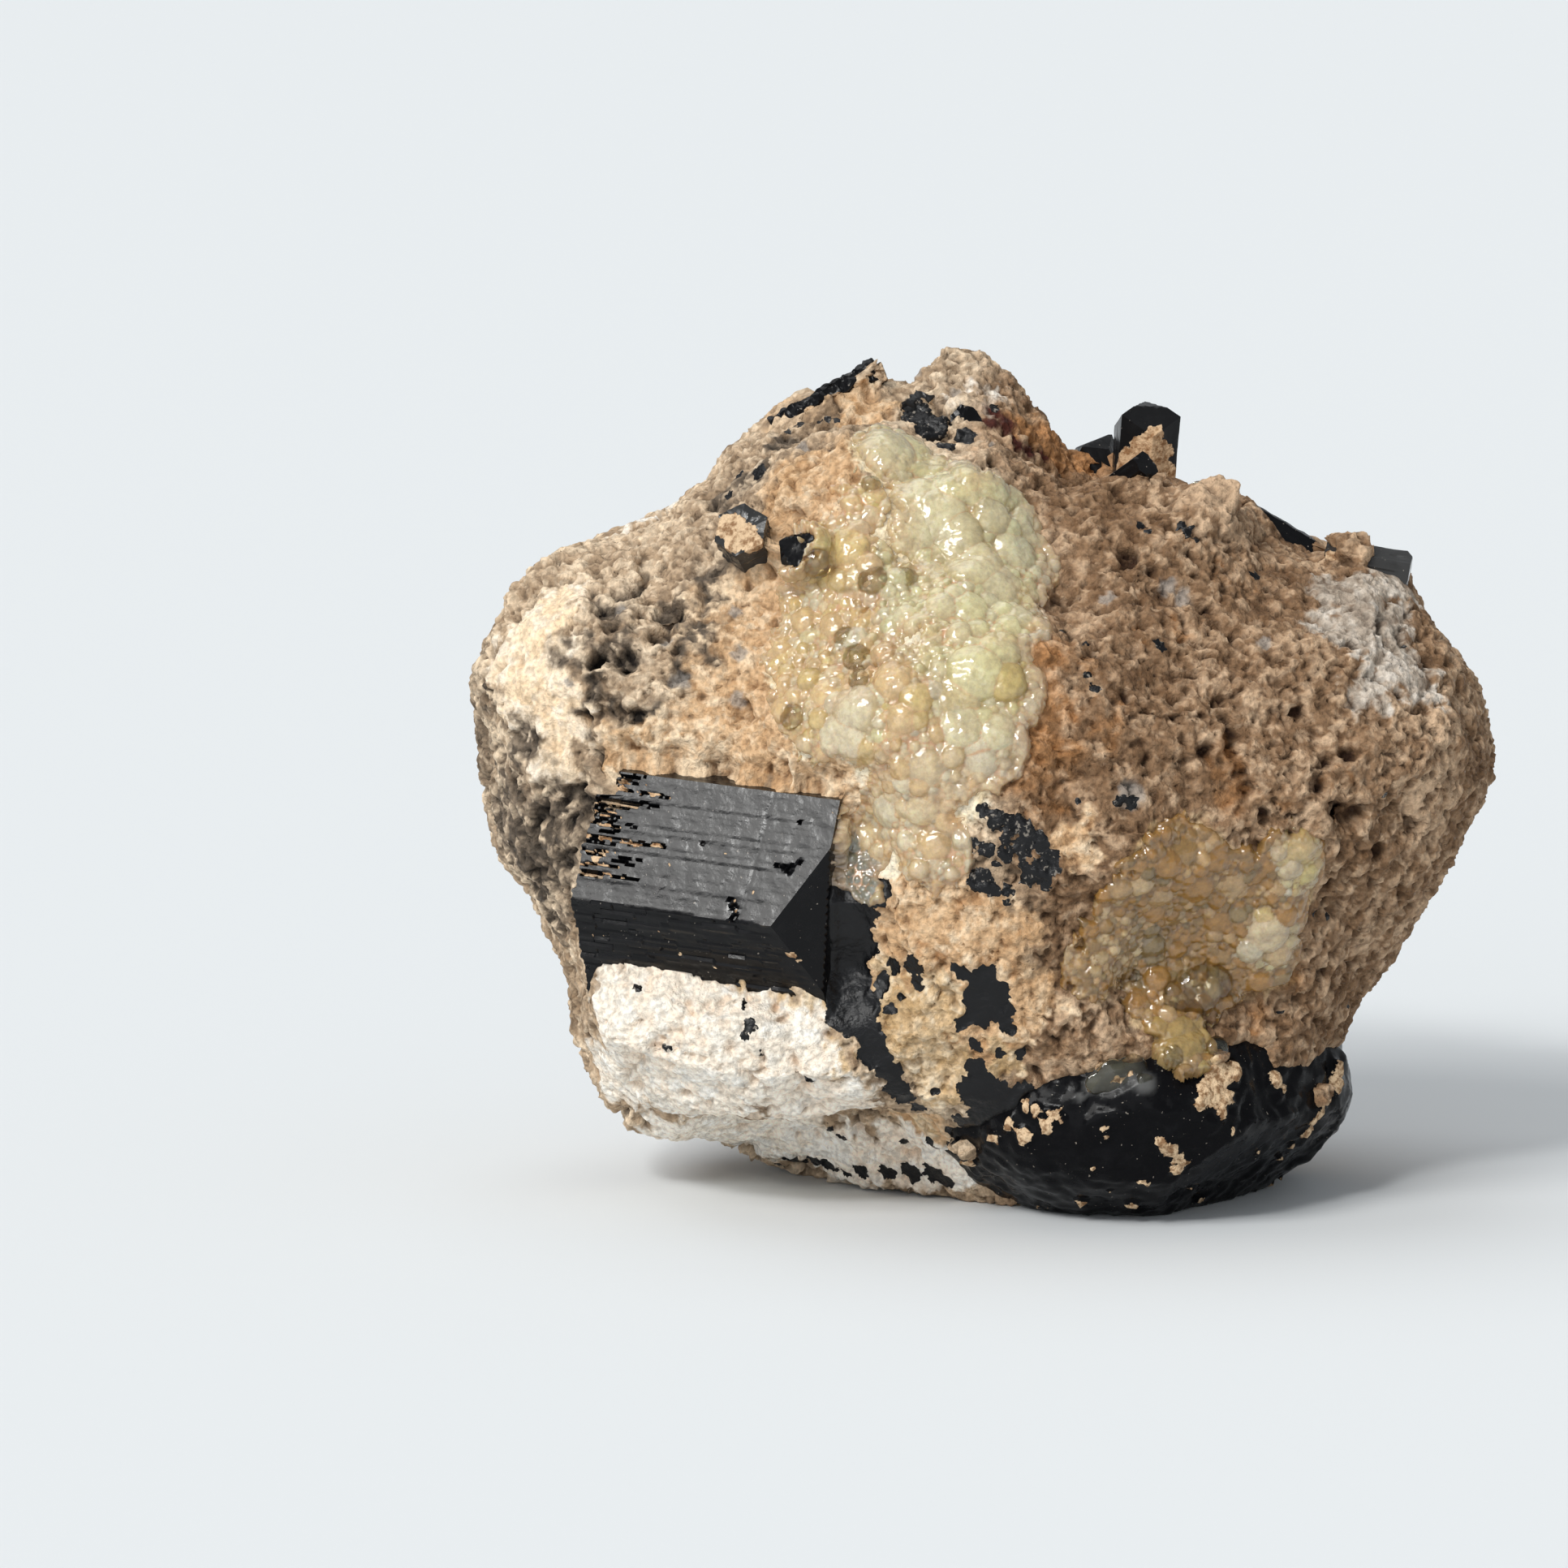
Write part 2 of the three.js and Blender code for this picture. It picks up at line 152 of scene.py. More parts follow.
# The feldspar rock: one porous, crumbly mass of cream to tan feldspar, white at its lower left. It is the packed
# solid, skinned finely with its sockets filled, then weathered: crumbs stand out of it, and pits, hollows and
# worm-like tracks go into it. Feldspar laps a little way over the crystals that it grew round.
SKIN_PITCH = 0.18
PLUG_SWELL = 0.65  # how far a crystal is swelled to fill its socket
PLUG_REACH = 0.8  # skin this near a crystal, and off the rock, lies on a plug
PLUG_DEPTH = 0.7  # how far below the crystal's face the plug's skin is drawn in
ROCK_SPLITS = (-9.5, 7.5)  # the x of the planes where one piece of the skin ends and the next begins
COARSE_FROM = 2  # behind this y, skin that looks backwards may be coarser
SCHORLS = [name for name in nodes if name.endswith("schorl")]


def numbers_of(items, attribute, width=3):
    """An attribute of a mesh's points, edges or corners, as rows of numbers."""
    numbers = np.empty(len(items) * width)
    items.foreach_get(attribute, numbers)
    return numbers.reshape(-1, width)


def solid_of(name):
    """A node's points and faces."""
    data = nodes[name].data
    return numbers_of(data.vertices, "co") / MM, [tuple(face.vertices) for face in data.polygons]


def joined(solids):
    """Several solids' points and faces, as those of one."""
    points, faces = [], []
    for own_points, own_faces in solids:
        faces += [tuple(corner + len(points) for corner in face) for face in own_faces]
        points += np.asarray(own_points).tolist()
    return points, faces


def result_of(work):
    """The mesh that an object's modifiers give. The object goes."""
    data = bpy.data.meshes.new_from_object(work.evaluated_get(bpy.context.evaluated_depsgraph_get()))
    bpy.data.objects.remove(work)
    return data


def skinned(solids, pitch, one_shell=True):
    """The outer skin of overlapping closed solids, as a mesh of even squares: its points, normals and faces."""
    work = added("skin", mesh_of("skin", *joined(solids)))
    remesh = work.modifiers.new("skin", "REMESH")
    remesh.mode = "VOXEL"
    remesh.voxel_size = pitch
    skin = result_of(work)
    keep = outer_shell(skin) if one_shell else np.ones(len(skin.vertices), dtype=bool)
    new_number = np.cumsum(keep) - 1
    quads = numbers_of(skin.loops, "vertex_index", 1).astype(int).reshape(-1, 4)
    quads = new_number[quads[keep[quads[:, 0]]]]
    return numbers_of(skin.vertices, "co")[keep], numbers_of(skin.vertex_normals, "vector")[keep], quads


def outer_shell(skin):
    """Which points of a mesh belong to its largest connected shell."""
    edges = numbers_of(skin.edges, "vertices", 2).astype(int)
    label = np.arange(len(skin.vertices))
    while True:
        lowest = np.minimum(label[edges[:, 0]], label[edges[:, 1]])
        before = label.copy()
        np.minimum.at(label, edges[:, 0], lowest)
        np.minimum.at(label, edges[:, 1], lowest)
        label = label[label]
        if np.array_equal(before, label):
            break
    names, counts = np.unique(label, return_counts=True)
    return label == names[counts.argmax()]


def swelled(name, distance):
    """A node's points, moved out along its corners' normals."""
    solid = bmesh.new()
    solid.from_mesh(nodes[name].data)
    bmesh.ops.remove_doubles(solid, verts=solid.verts, dist=1e-6)
    solid.normal_update()
    points = [vert.co / MM + vert.normal * distance for vert in solid.verts]
    faces = [tuple(vert.index for vert in face.verts) for face in solid.faces]
    solid.free()
    return points, faces


rock_solid = solid_of("feldspar_matrix")
schorl_solids = [solid_of(name) for name in SCHORLS]
rock_tree, schorl_tree = BVHTree.FromPolygons(*joined([rock_solid])), BVHTree.FromPolygons(*joined(schorl_solids))
schorl_owner = [number for number, (_, faces) in enumerate(schorl_solids) for _ in faces]
schorl_middle = [Vector(points.mean(axis=0)) for points, _ in schorl_solids]
plugs = [swelled(name, PLUG_SWELL) for name in SCHORLS]
rock_points, rock_normals, rock_quads = skinned([rock_solid, *plugs], SKIN_PITCH)
skin_tree = BVHTree.FromPolygons(rock_points.tolist(), rock_quads.tolist())

VIEW_SIDE = 1932  # pixels across the photograph, which is square
FOCAL_PIXELS = VIEW_SIDE * LENS / SENSOR
camera_turn = camera.rotation_euler.to_matrix()


def seen(u, v, tree=skin_tree):
    """The place on the rock, or on another surface, that a pixel of the photograph shows."""
    towards = (camera_turn @ Vector((u - VIEW_SIDE / 2, VIEW_SIDE / 2 - v, -FOCAL_PIXELS))).normalized()
    place, normal, _, _ = tree.ray_cast(CAMERA_AT, towards)
    if place is None:
        place, normal, _, _ = tree.find_nearest(CAMERA_AT + towards * CAMERA_AT.length)
    return place, normal


def ramp(values, low, high):
    """Runs smoothly from 0 at low to 1 at high."""
    share = np.clip((values - low) / (high - low), 0, 1)
    return share * share * (3 - 2 * share)


def spread_noise(points, size, octaves=4, seed=0):
    """Cloudy noise, about -1 to 1, with lumps of the given size."""
    shift = np.array((seed * 17.3, seed * 5.1, seed * 9.7))
    return np.array([noise.fractal(place, 0.9, 2.0, octaves) for place in (points / size + shift).tolist()])


def crumbled(points, size, seed=0, stretch=(1, 1, 1), metric="DISTANCE"):
    """A surface broken into crumbs about size across: how high each point's crumb domes there, from 0 at its edge to
    1 in its middle, how near the point is to the crack beside it, from 0 far off to 1, and the crumb's own tone."""
    shift = np.array((seed * 3.7, seed * 11.9, seed * 7.3))
    scaled = points / (np.array(stretch) * size) + shift
    found = [noise.voronoi(place, distance_metric=metric) for place in scaled.tolist()]
    reach = np.array([distances[:2] for distances, _ in found])
    middles = np.array([tuple(places[0]) for _, places in found])
    tone = np.sin(middles @ np.array((12.9898, 78.233, 37.719))) * 43758.5453 % 1
    widest = 0.85 if metric == "DISTANCE" else 1.25
    dome = np.sqrt(np.clip(1 - (reach[:, 0] / widest) ** 2, 0, 1))
    crack = 1 - ramp(reach[:, 1] - reach[:, 0], 0.0, 0.3)
    return dome, crack, tone


def patch(points, spots, edge=0.3, tree=skin_tree):
    """How much of each point lies in a patch of round spots, each a pixel of the photograph and a radius."""
    inside = np.zeros(len(points))
    for u, v, radius in spots:
        place = np.array(seen(u, v, tree)[0])
        near = np.flatnonzero(np.abs(points - place).max(axis=1) < radius * (1 + edge))
        apart = np.linalg.norm(points[near] - place, axis=1)
        inside[near] = np.maximum(inside[near], 1 - ramp(apart, radius * (1 - edge), radius * (1 + edge)))
    return inside


def drawn_in(points):
    """How far each point lies off the rock on a crystal's plug, and where it goes under the crystal's face."""
    off_rock = np.zeros(len(points))
    under = points.copy()
    for number, point in enumerate(points.tolist()):
        place, _, face, _ = schorl_tree.find_nearest(point, PLUG_REACH)
        if place is None:
            continue
        off_rock[number] = rock_tree.find_nearest(point)[3]
        inward = schorl_middle[schorl_owner[face]] - place
        under[number] = place + inward.normalized() * min(PLUG_DEPTH, inward.length / 2)
    return off_rock, under


off_rock, under_crystals = drawn_in(rock_points)

# Where the rock changes, as pixels of the photograph and radii.
WHITE = [
    (770, 1240, 3.5), (850, 1215, 2.2), (830, 1330, 5.5), (920, 1300, 4), (930, 1390, 5), (1010, 1360, 3.6),
    (1040, 1430, 3), (1110, 1425, 2.4), (985, 1290, 2.0), (1160, 1440, 1.8), (760, 1330, 3), (840, 1400, 2.6),
]
CHEEK = [
    (650, 850, 3.0), (640, 800, 3.0), (660, 780, 2.4), (690, 880, 2.0), (665, 760, 2.2), (690, 730, 1.5),
    (625, 870, 1.4), (676, 940, 1.5), (640, 830, 2.4),
]
YELLOW_CREAM = [
    (780, 1190, 1.3), (840, 1200, 1.6), (900, 1216, 1.6), (960, 1240, 1.5), (985, 1265, 1.4), (1010, 1300, 1.5),
    (1110, 1270, 2.2), (1150, 1240, 2.2), (1150, 1310, 2.2), (1100, 1220, 1.5), (1240, 1310, 1.2), (1160, 1350, 1.4),
    (1130, 1380, 1.4), (1490, 1310, 1.2),
]
CREAM = [
    (1110, 1090, 4), (1020, 900, 5), (930, 860, 5), (1110, 1180, 4), (1180, 1150, 4), (860, 905, 2.6), (800, 925, 2.4),
    (1180, 1280, 4), (1000, 720, 5), (930, 780, 5), (1130, 1380, 3), (1250, 1230, 2.4), (920, 920, 2.6),
    (980, 950, 2.4), (1060, 1020, 4), (1000, 600, 4), (960, 640, 3), (1230, 1150, 2.4), (760, 925, 1.6),
    (1330, 1040, 1.6), (1450, 1300, 1.2), (1060, 500, 2),
]
# Darker grey-brown patches, most on the left side; the colour goes on most strongly in pits and on dark crumbs.
DARK_GREY_SPOTS = [
    (830, 750, 1.3), (770, 800, 1.3), (735, 815, 1.1), (840, 820, 1.0), (715, 885, 0.9), (780, 880, 1.0),
    (600, 860, 0.8), (615, 950, 1.5), (640, 1050, 4.6), (700, 1000, 2.4), (670, 1020, 2.6), (655, 1090, 2.8),
    (880, 715, 1.5), (760, 740, 1.6), (620, 1000, 2.6), (660, 1110, 3.0), (640, 920, 1.8), (725, 1340, 1.3),
    (745, 1375, 1.0), (800, 1412, 1.2), (712, 1300, 0.9), (615, 1020, 3.0), (600, 905, 0.8), (700, 800, 1.2),
    (735, 860, 1.2), (860, 780, 1.8), (680, 1060, 2.4), (925, 590, 1.4), (890, 610, 1.2), (960, 545, 1.0),
]
CHALK = [(1700, 765, 3.4), (1735, 820, 2.6), (1670, 720, 2.2), (1645, 770, 1.8), (1720, 720, 1.8), (1690, 850, 1.6)]
RUST = [
    (1300, 545, 1.8), (1335, 562, 1.5), (1262, 535, 1.0), (1290, 800, 1.3), (1275, 840, 1.6), (1265, 900, 1.5),
    (1300, 870, 1.3), (1255, 960, 1.1), (1310, 930, 1.3), (1080, 960, 0.6), (1010, 680, 0.5), (1225, 1185, 0.8),
    (1590, 1200, 1.0), (1545, 1240, 0.9), (1060, 1290, 0.5), (950, 940, 0.4), (1455, 765, 0.5), (1345, 812, 0.7),
    (1574, 987, 0.5), (1112, 596, 0.4), (1140, 1180, 0.5), (1515, 935, 0.9), (1520, 980, 0.9), (1375, 890, 0.9),
    (1200, 1110, 0.6), (1290, 990, 0.8), (960, 640, 0.4), (850, 960, 0.4), (1250, 620, 0.4), (1385, 870, 0.5),
    (1508, 720, 0.4), (1500, 705, 0.4), (1545, 720, 0.3), (1420, 780, 0.4), (1660, 960, 0.5),
]
MAROON = [(1255, 545, 0.6), (1240, 522, 0.7), (1226, 506, 0.6), (1272, 556, 0.55), (1292, 560, 0.4), (1222, 520, 0.5)]
TRAIL = [
    (1040, 1060, 0.9), (1045, 1085, 1.2), (1066, 1100, 1.2), (1045, 1115, 1.3), (1058, 1130, 1.1), (1040, 1150, 1.3),
    (1040, 1185, 1.4), (1050, 1200, 1.2), (1038, 1215, 1.3), (1052, 1235, 1.1), (1055, 1255, 1.0), (1040, 1250, 1.2),
    (1065, 1270, 0.9), (1075, 1285, 0.8), (1085, 1305, 0.85), (1096, 1325, 0.8), (1106, 1345, 0.8), (1116, 1358, 0.6),
    (1085, 1095, 0.6), (1100, 1192, 0.55), (1122, 1192, 0.65), (1128, 1212, 0.45), (1086, 1212, 0.6), (1098, 1243, 0.4),
    (1110, 1230, 0.35), (1190, 1200, 0.5), (1178, 1192, 0.35), (1206, 1214, 0.6), (1222, 1230, 0.75),
    (1228, 1248, 0.75), (1212, 1256, 0.7), (1186, 1262, 0.45), (1240, 1266, 0.5), (1200, 1318, 0.7), (1212, 1338, 0.9),
    (1196, 1358, 0.8), (1184, 1388, 0.9), (1212, 1385, 1.1), (1240, 1378, 1.0), (1166, 1402, 0.5), (1262, 1352, 0.8),
    (1290, 1350, 1.0), (1265, 1398, 1.1), (1255, 1302, 0.4), (1232, 1300, 0.3), (1200, 1290, 0.4), (1140, 1412, 0.45),
    (1110, 1408, 0.3), (1222, 1420, 1.0), (1000, 1434, 0.6), (975, 1432, 0.7), (1020, 1440, 0.6), (1120, 1448, 0.7),
    (1150, 1450, 0.8), (1090, 1448, 0.6), (1180, 1440, 0.8), (1060, 1446, 0.6), (960, 1440, 0.4), (1130, 1368, 0.5),
    (1150, 1345, 0.3), (1205, 1232, 0.9), (1228, 1226, 0.8), (1216, 1204, 0.7), (1238, 1246, 0.6), (1198, 1254, 0.6),
    (1225, 1355, 1.3), (1200, 1345, 1.0), (1250, 1375, 1.5), (1215, 1405, 1.4), (1270, 1410, 1.4), (1245, 1445, 1.2),
    (1190, 1450, 0.8), (1160, 1456, 0.7), (1290, 1375, 1.2), (1310, 1350, 1.0), (1120, 1452, 0.55), (1040, 1446, 0.4),
    (1075, 1300, 0.8), (1062, 1240, 1.2), (1050, 1165, 1.4),
]
FLOWER = [
    (1212, 998, 0.45), (1228, 1010, 0.6), (1250, 1016, 0.6), (1240, 1030, 0.5), (1266, 1020, 0.5), (1278, 1034, 0.7),
    (1262, 1044, 0.6), (1240, 1052, 0.5), (1216, 1046, 0.5), (1200, 1040, 0.35), (1292, 1056, 0.55), (1282, 1066, 0.5),
    (1262, 1066, 0.4), (1208, 1086, 0.75), (1222, 1098, 0.5), (1268, 1082, 0.5), (1286, 1084, 0.55), (1240, 1096, 0.35),
    (1240, 1112, 0.25), (1300, 1070, 0.4), (1226, 1064, 0.25), (1430, 797, 0.35), (1350, 850, 0.35), (1342, 830, 0.2),
    (1465, 655, 0.35), (1455, 648, 0.3), (1474, 664, 0.25), (1548, 705, 0.35), (1405, 645, 0.3), (1415, 652, 0.2),
    (1395, 990, 0.5), (1380, 985, 0.35), (1312, 770, 0.2), (1340, 786, 0.2), (1268, 656, 0.15), (1710, 985, 0.2),
    (1622, 1130, 0.2), (908, 585, 0.4), (935, 582, 0.5), (898, 610, 0.35), (985, 522, 0.3), (972, 528, 0.3),
    (1018, 516, 0.3), (1030, 515, 0.25), (1005, 519, 0.2), (850, 590, 0.3), (1148, 525, 1.0), (1128, 508, 0.8),
    (1165, 545, 0.6), (1112, 498, 0.4), (1190, 540, 0.7), (640, 1105, 0.2), (1227, 500, 0.35), (1640, 1130, 0.2),
    (1330, 985, 0.2), (924, 1262, 0.45), (920, 1278, 0.3), (914, 1240, 0.25), (777, 1218, 0.28), (998, 1337, 0.3),
    (820, 1292, 0.25), (935, 1302, 0.2), (1025, 1392, 0.35), (1036, 1403, 0.3), (1020, 1384, 0.2), (1735, 790, 0.25),
    (1580, 1250, 0.2), (1665, 1240, 0.2),
]
CLASTS = [
    (820, 790, 0.5), (836, 838, 0.6), (905, 752, 0.35), (765, 745, 0.4), (700, 842, 0.3), (985, 545, 0.4),
    (1440, 720, 0.5), (1460, 735, 0.5), (1365, 735, 0.4), (1180, 480, 0.4), (1395, 980, 0.9), (1220, 545, 0.4),
    (911, 806, 0.5), (908, 862, 0.5), (1560, 790, 0.4), (1130, 460, 0.4),
]
PALE_BED = [
    (1110, 560, 3), (1150, 640, 4.6), (1190, 740, 4.6), (1200, 850, 4), (1100, 900, 4), (1150, 960, 3.4),
    (1100, 1030, 2.4), (1010, 800, 3.5), (1020, 690, 2.2), (1000, 880, 2.4),
]
AMBER_BED = [
    (1450, 1080, 3.6), (1500, 1150, 4), (1400, 1150, 3), (1570, 1110, 2.6), (1440, 1230, 2.4), (1560, 1190, 2.2),
    (1360, 1190, 2),
]


def wander(points, size, first_seed):
    """Cloudy noise for each point's three coordinates."""
    return np.stack([spread_noise(points, size, 3, seed) for seed in range(first_seed, first_seed + 3)], axis=1)


def blended(values, others, amount):
    """Rows of values, each moved an amount of the way to another row."""
    return values + (np.asarray(others) - values) * amount[:, None]


warp = wander(rock_points, 1.5, 1)
fine_warp = wander(rock_points, 0.45, 8)
warped = rock_points + warp * 0.5
broad_warped = rock_points + warp * 1.3
edge_warped = rock_points + warp * 0.2 + fine_warp * 0.22
x, y, _ = rock_points.T
behind = ramp(y, 0, 7)
clouds = spread_noise(rock_points, 7, 4, 4)
yellow, cream, cheek, dark_grey, chalk = [
    patch(broad_warped, spots, 0.4) for spots in (YELLOW_CREAM, CREAM, CHEEK, DARK_GREY_SPOTS, CHALK)
]
white = np.maximum(patch(broad_warped, WHITE, 0.35), behind * ramp(clouds, 0.25, 0.6) * 0.8)
cream = np.maximum(cream, behind * ramp(-clouds, 0.1, 0.5) * 0.5)
# darker grey-brown also towards the far left rim
dark_grey = np.maximum(dark_grey, ramp(-x, 28.6, 30.6) * (1 - white) * 0.6)
rust = patch(broad_warped, RUST, 0.7)
maroon = patch(edge_warped, MAROON, 0.3)
trail = patch(edge_warped, TRAIL, 0.22)
flower = np.minimum(1, 1.15 * patch(edge_warped, FLOWER, 0.25))
clasts = patch(edge_warped, CLASTS, 0.2)
pale_bed = patch(warped, PALE_BED, 0.3)
amber_bed = patch(warped, AMBER_BED, 0.35)
# worn_and_shaded: the right side, worn by tracks and pores, whose colours are also darkened as painted shade
worn_and_shaded = ramp(x + 2.5 * clouds, -2, 4)

# How high lumps, crumbs and grains stand, and how deep hollows, pores and worm tracks go, in each kind of rock.
WEATHERING = {
    "lumpy": (0.38, 0.42, 0.24, 0.7, 0.35, 0.0),
    "worn_and_shaded": (0.24, 0.38, 0.22, 0.34, 0.34, 0.22),
    "cream": (0.28, 0.32, 0.18, 0.34, 0.28, 0.05),
    "yellow": (0.24, 0.34, 0.2, 0.4, 0.25, 0.0),
    "white": (0.26, 0.18, 0.08, 0.55, 0.14, 0.0),
    "cheek": (0.3, 0.14, 0.05, 0.15, 0.1, 0.0),
    "chalk": (0.4, 0.26, 0.08, 0.45, 0.25, 0.1),
    "pale_bed": (0.12, 0.12, 0.06, 0.1, 0.05, 0.0),
    "amber_bed": (0.12, 0.12, 0.06, 0.1, 0.05, 0.0),
    "trail": (0.06, 0.1, 0.05, 0.0, 0.0, 0.0),
    "flower": (0.1, 0.3, 0.2, 0.0, 0.0, 0.0),
}
ZONES = {
    "worn_and_shaded": worn_and_shaded, "cream": cream, "yellow": yellow, "white": white, "cheek": cheek, "chalk": chalk,
    "pale_bed": pale_bed, "amber_bed": amber_bed, "trail": trail, "flower": flower,
}
# Single holes, places worn back and lumps: a pixel, a radius, and how deep or high.
HOLES = [
    (1522, 905, 0.6, 1.0), (1488, 924, 0.5, 0.8), (1627, 964, 0.55, 0.9), (1660, 927, 0.5, 0.9), (1670, 1012, 1.1, 1.4),
    (1650, 1000, 0.7, 1.0), (1666, 790, 0.4, 0.7), (1731, 786, 0.4, 0.7), (1390, 685, 0.7, 1.0), (1505, 860, 0.5, 0.7),
    (1512, 885, 0.45, 0.7), (1520, 925, 0.5, 0.8), (1530, 950, 0.5, 0.8), (1536, 972, 0.4, 0.7), (825, 752, 0.9, 1.2),
    (732, 812, 0.5, 0.9), (772, 812, 0.8, 1.0), (718, 884, 0.5, 0.9), (782, 882, 0.55, 0.9), (815, 780, 0.7, 1.0),
    (772, 1322, 0.45, 0.7), (765, 1320, 0.4, 0.6), (822, 1312, 0.5, 0.6), (825, 1378, 0.55, 0.6), (871, 1402, 0.4, 0.5),
    (914, 1390, 0.4, 0.5), (908, 1430, 0.6, 0.5), (945, 1344, 0.35, 0.4), (954, 1370, 0.3, 0.4), (843, 1350, 0.4, 0.4),
    (992, 820, 0.5, 0.7), (952, 765, 0.35, 0.6), (1420, 700, 0.4, 0.5), (1600, 880, 0.4, 0.7), (1560, 1010, 0.4, 0.7),
    (1700, 1050, 0.5, 0.8), (1740, 1020, 0.5, 0.8), (1620, 1080, 0.4, 0.7), (1450, 880, 0.35, 0.6),
    (1760, 900, 0.4, 0.6),
]
WORN_BACK = [
    (735, 1180, 1.1, 0.7), (790, 1188, 1.5, 1.1), (850, 1198, 1.6, 1.2), (905, 1210, 1.5, 1.0), (950, 1222, 1.2, 0.6),
    (775, 932, 0.9, 0.6), (830, 938, 1.0, 0.9), (885, 946, 1.0, 1.0), (940, 955, 1.0, 1.0), (990, 963, 0.9, 0.8),
]
LUMPS = [
    (1490, 622, 1.7, 1.2), (1506, 612, 1.1, 0.8), (1668, 666, 1.3, 0.5), (676, 940, 1.6, 0.5), (1560, 640, 0.9, 0.3),
    (889, 1275, 1.0, 0.25), (1052, 676, 1.3, 0.3), (1505, 1310, 1.0, 0.4),
]

DOME_MIDDLE = 0.75  # how high a crumb stands on average, as a share of its highest
FOLD_HEIGHT = 0.28
SKIN_SUNK = 0.12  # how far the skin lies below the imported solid, so that its crumbs reach that
BED_DEPTH = 0.15  # how much further it is lowered under the opal and the black trails

lump_dome, _, lump_tone = crumbled(warped, 1.75, 1)
crumb_dome, _, crumb_tone = crumbled(edge_warped, 0.78, 2)
grain_dome, _, grain_tone = crumbled(edge_warped, 0.5, 3, metric="MANHATTAN")
track_dome, _, _ = crumbled(warped, 0.85, 4, stretch=(0.75, 0.9, 1.7))
tracks = ramp(track_dome, 0.88, 0.98)
pores = ramp(spread_noise(warped, 0.8, 3, 5), 0.2, 0.55)
hollow_noise = spread_noise(warped, 2.0, 3, 6)
hollows = ramp(hollow_noise, 0.2, 0.7)
folds = spread_noise(rock_points, 3.6, 4, 7)

strength = np.tile(np.array(WEATHERING["lumpy"]), (len(rock_points), 1))
for name, amount in ZONES.items():
    strength = blended(strength, WEATHERING[name], amount)
tracks = tracks * ramp(folds + hollow_noise, -0.6, 0.5)
domes = np.column_stack([lump_dome, crumb_dome, grain_dome]) - DOME_MIDDLE
forms = np.column_stack([domes, -hollows, -pores, -tracks])
relief = (strength * forms).sum(axis=1) + FOLD_HEIGHT * folds * (1 - trail) - SKIN_SUNK
bed = np.maximum(pale_bed, amber_bed)
relief -= BED_DEPTH * bed + BED_DEPTH * trail
relief = np.where(bed > 0.5, np.minimum(relief, -BED_DEPTH), relief)  # no crumb stands up through the opal
for spots, points, edge, way in (
    (HOLES, edge_warped, 0.4, -1), (LUMPS, warped, 0.6, 1), (WORN_BACK, rock_points, 0.8, -1),
):
    for u, v, radius, height in spots:
        relief += way * height * patch(points, [(u, v, radius)], edge)


def evened(values, quads, rounds):
    """Values of a mesh's points, each averaged with its neighbours a number of times."""
    corners = quads.ravel()
    around = np.bincount(corners, minlength=len(values))
    for _ in range(rounds):
        faces = values[quads].mean(axis=1)
        values = np.bincount(corners, weights=np.repeat(faces, 4), minlength=len(values)) / np.maximum(around, 1)
    return values


near_level = evened(relief, rock_quads, 4)
far_level = evened(near_level, rock_quads, 14)
# pit: how far a point lies down in a small pit or a broader hollow, where the colours paint shade with some brown dirt
pit = 0.5 * np.clip((near_level - relief) / 0.2 - 0.1, 0, 1)
pit = np.clip(pit + 0.8 * np.clip((far_level - near_level) / 0.28 - 0.1, 0, 1), 0, 1)
# crest: how far a point stands above the broad level; the tone is raised there as painted light on the crumb tops
crest = np.clip((relief - far_level) / 0.3, 0, 1)

# Feldspar laps over each crystal's edge, and in some places climbs further over it.
CLIMB_HEIGHT = 2.5
CLIMBS = [
    (960, 540, 0.8), (985, 528, 0.7), (1010, 515, 0.6), (1040, 500, 0.6), (1065, 488, 0.5), (1440, 604, 0.8),
    (1400, 610, 0.9), (1350, 578, 0.6), (1640, 705, 0.9), (1615, 695, 0.8), (1665, 715, 0.6), (1560, 672, 0.6),
    (1120, 548, 0.7), (1180, 522, 0.5), (1500, 1300, 0.8), (1180, 1425, 0.9), (1110, 1420, 0.9), (1050, 1440, 0.6),
    (1640, 1350, 0.8), (1625, 1390, 0.7), (1145, 500, 0.4), (1200, 552, 0.5), (880, 690, 0.5), (860, 660, 0.4),
    (1668, 668, 1.2), (1650, 660, 0.8), (1078, 460, 0.9), (1030, 492, 0.6), (1650, 712, 0.6),
]
ragged = 0.5 + 0.5 * spread_noise(rock_points, 0.9, 3, 41)
climbs = patch(warped, CLIMBS, 0.4)
share = ramp(off_rock - CLIMB_HEIGHT * climbs, 0.06, 0.42 + 0.3 * np.clip(ragged, 0, 1))
rock_surface = rock_points + rock_normals * relief[:, None]
rock_surface = rock_surface * (1 - share[:, None]) + under_crystals * share[:, None]
rock_surface[:, 2] = np.maximum(rock_surface[:, 2], 0.02)
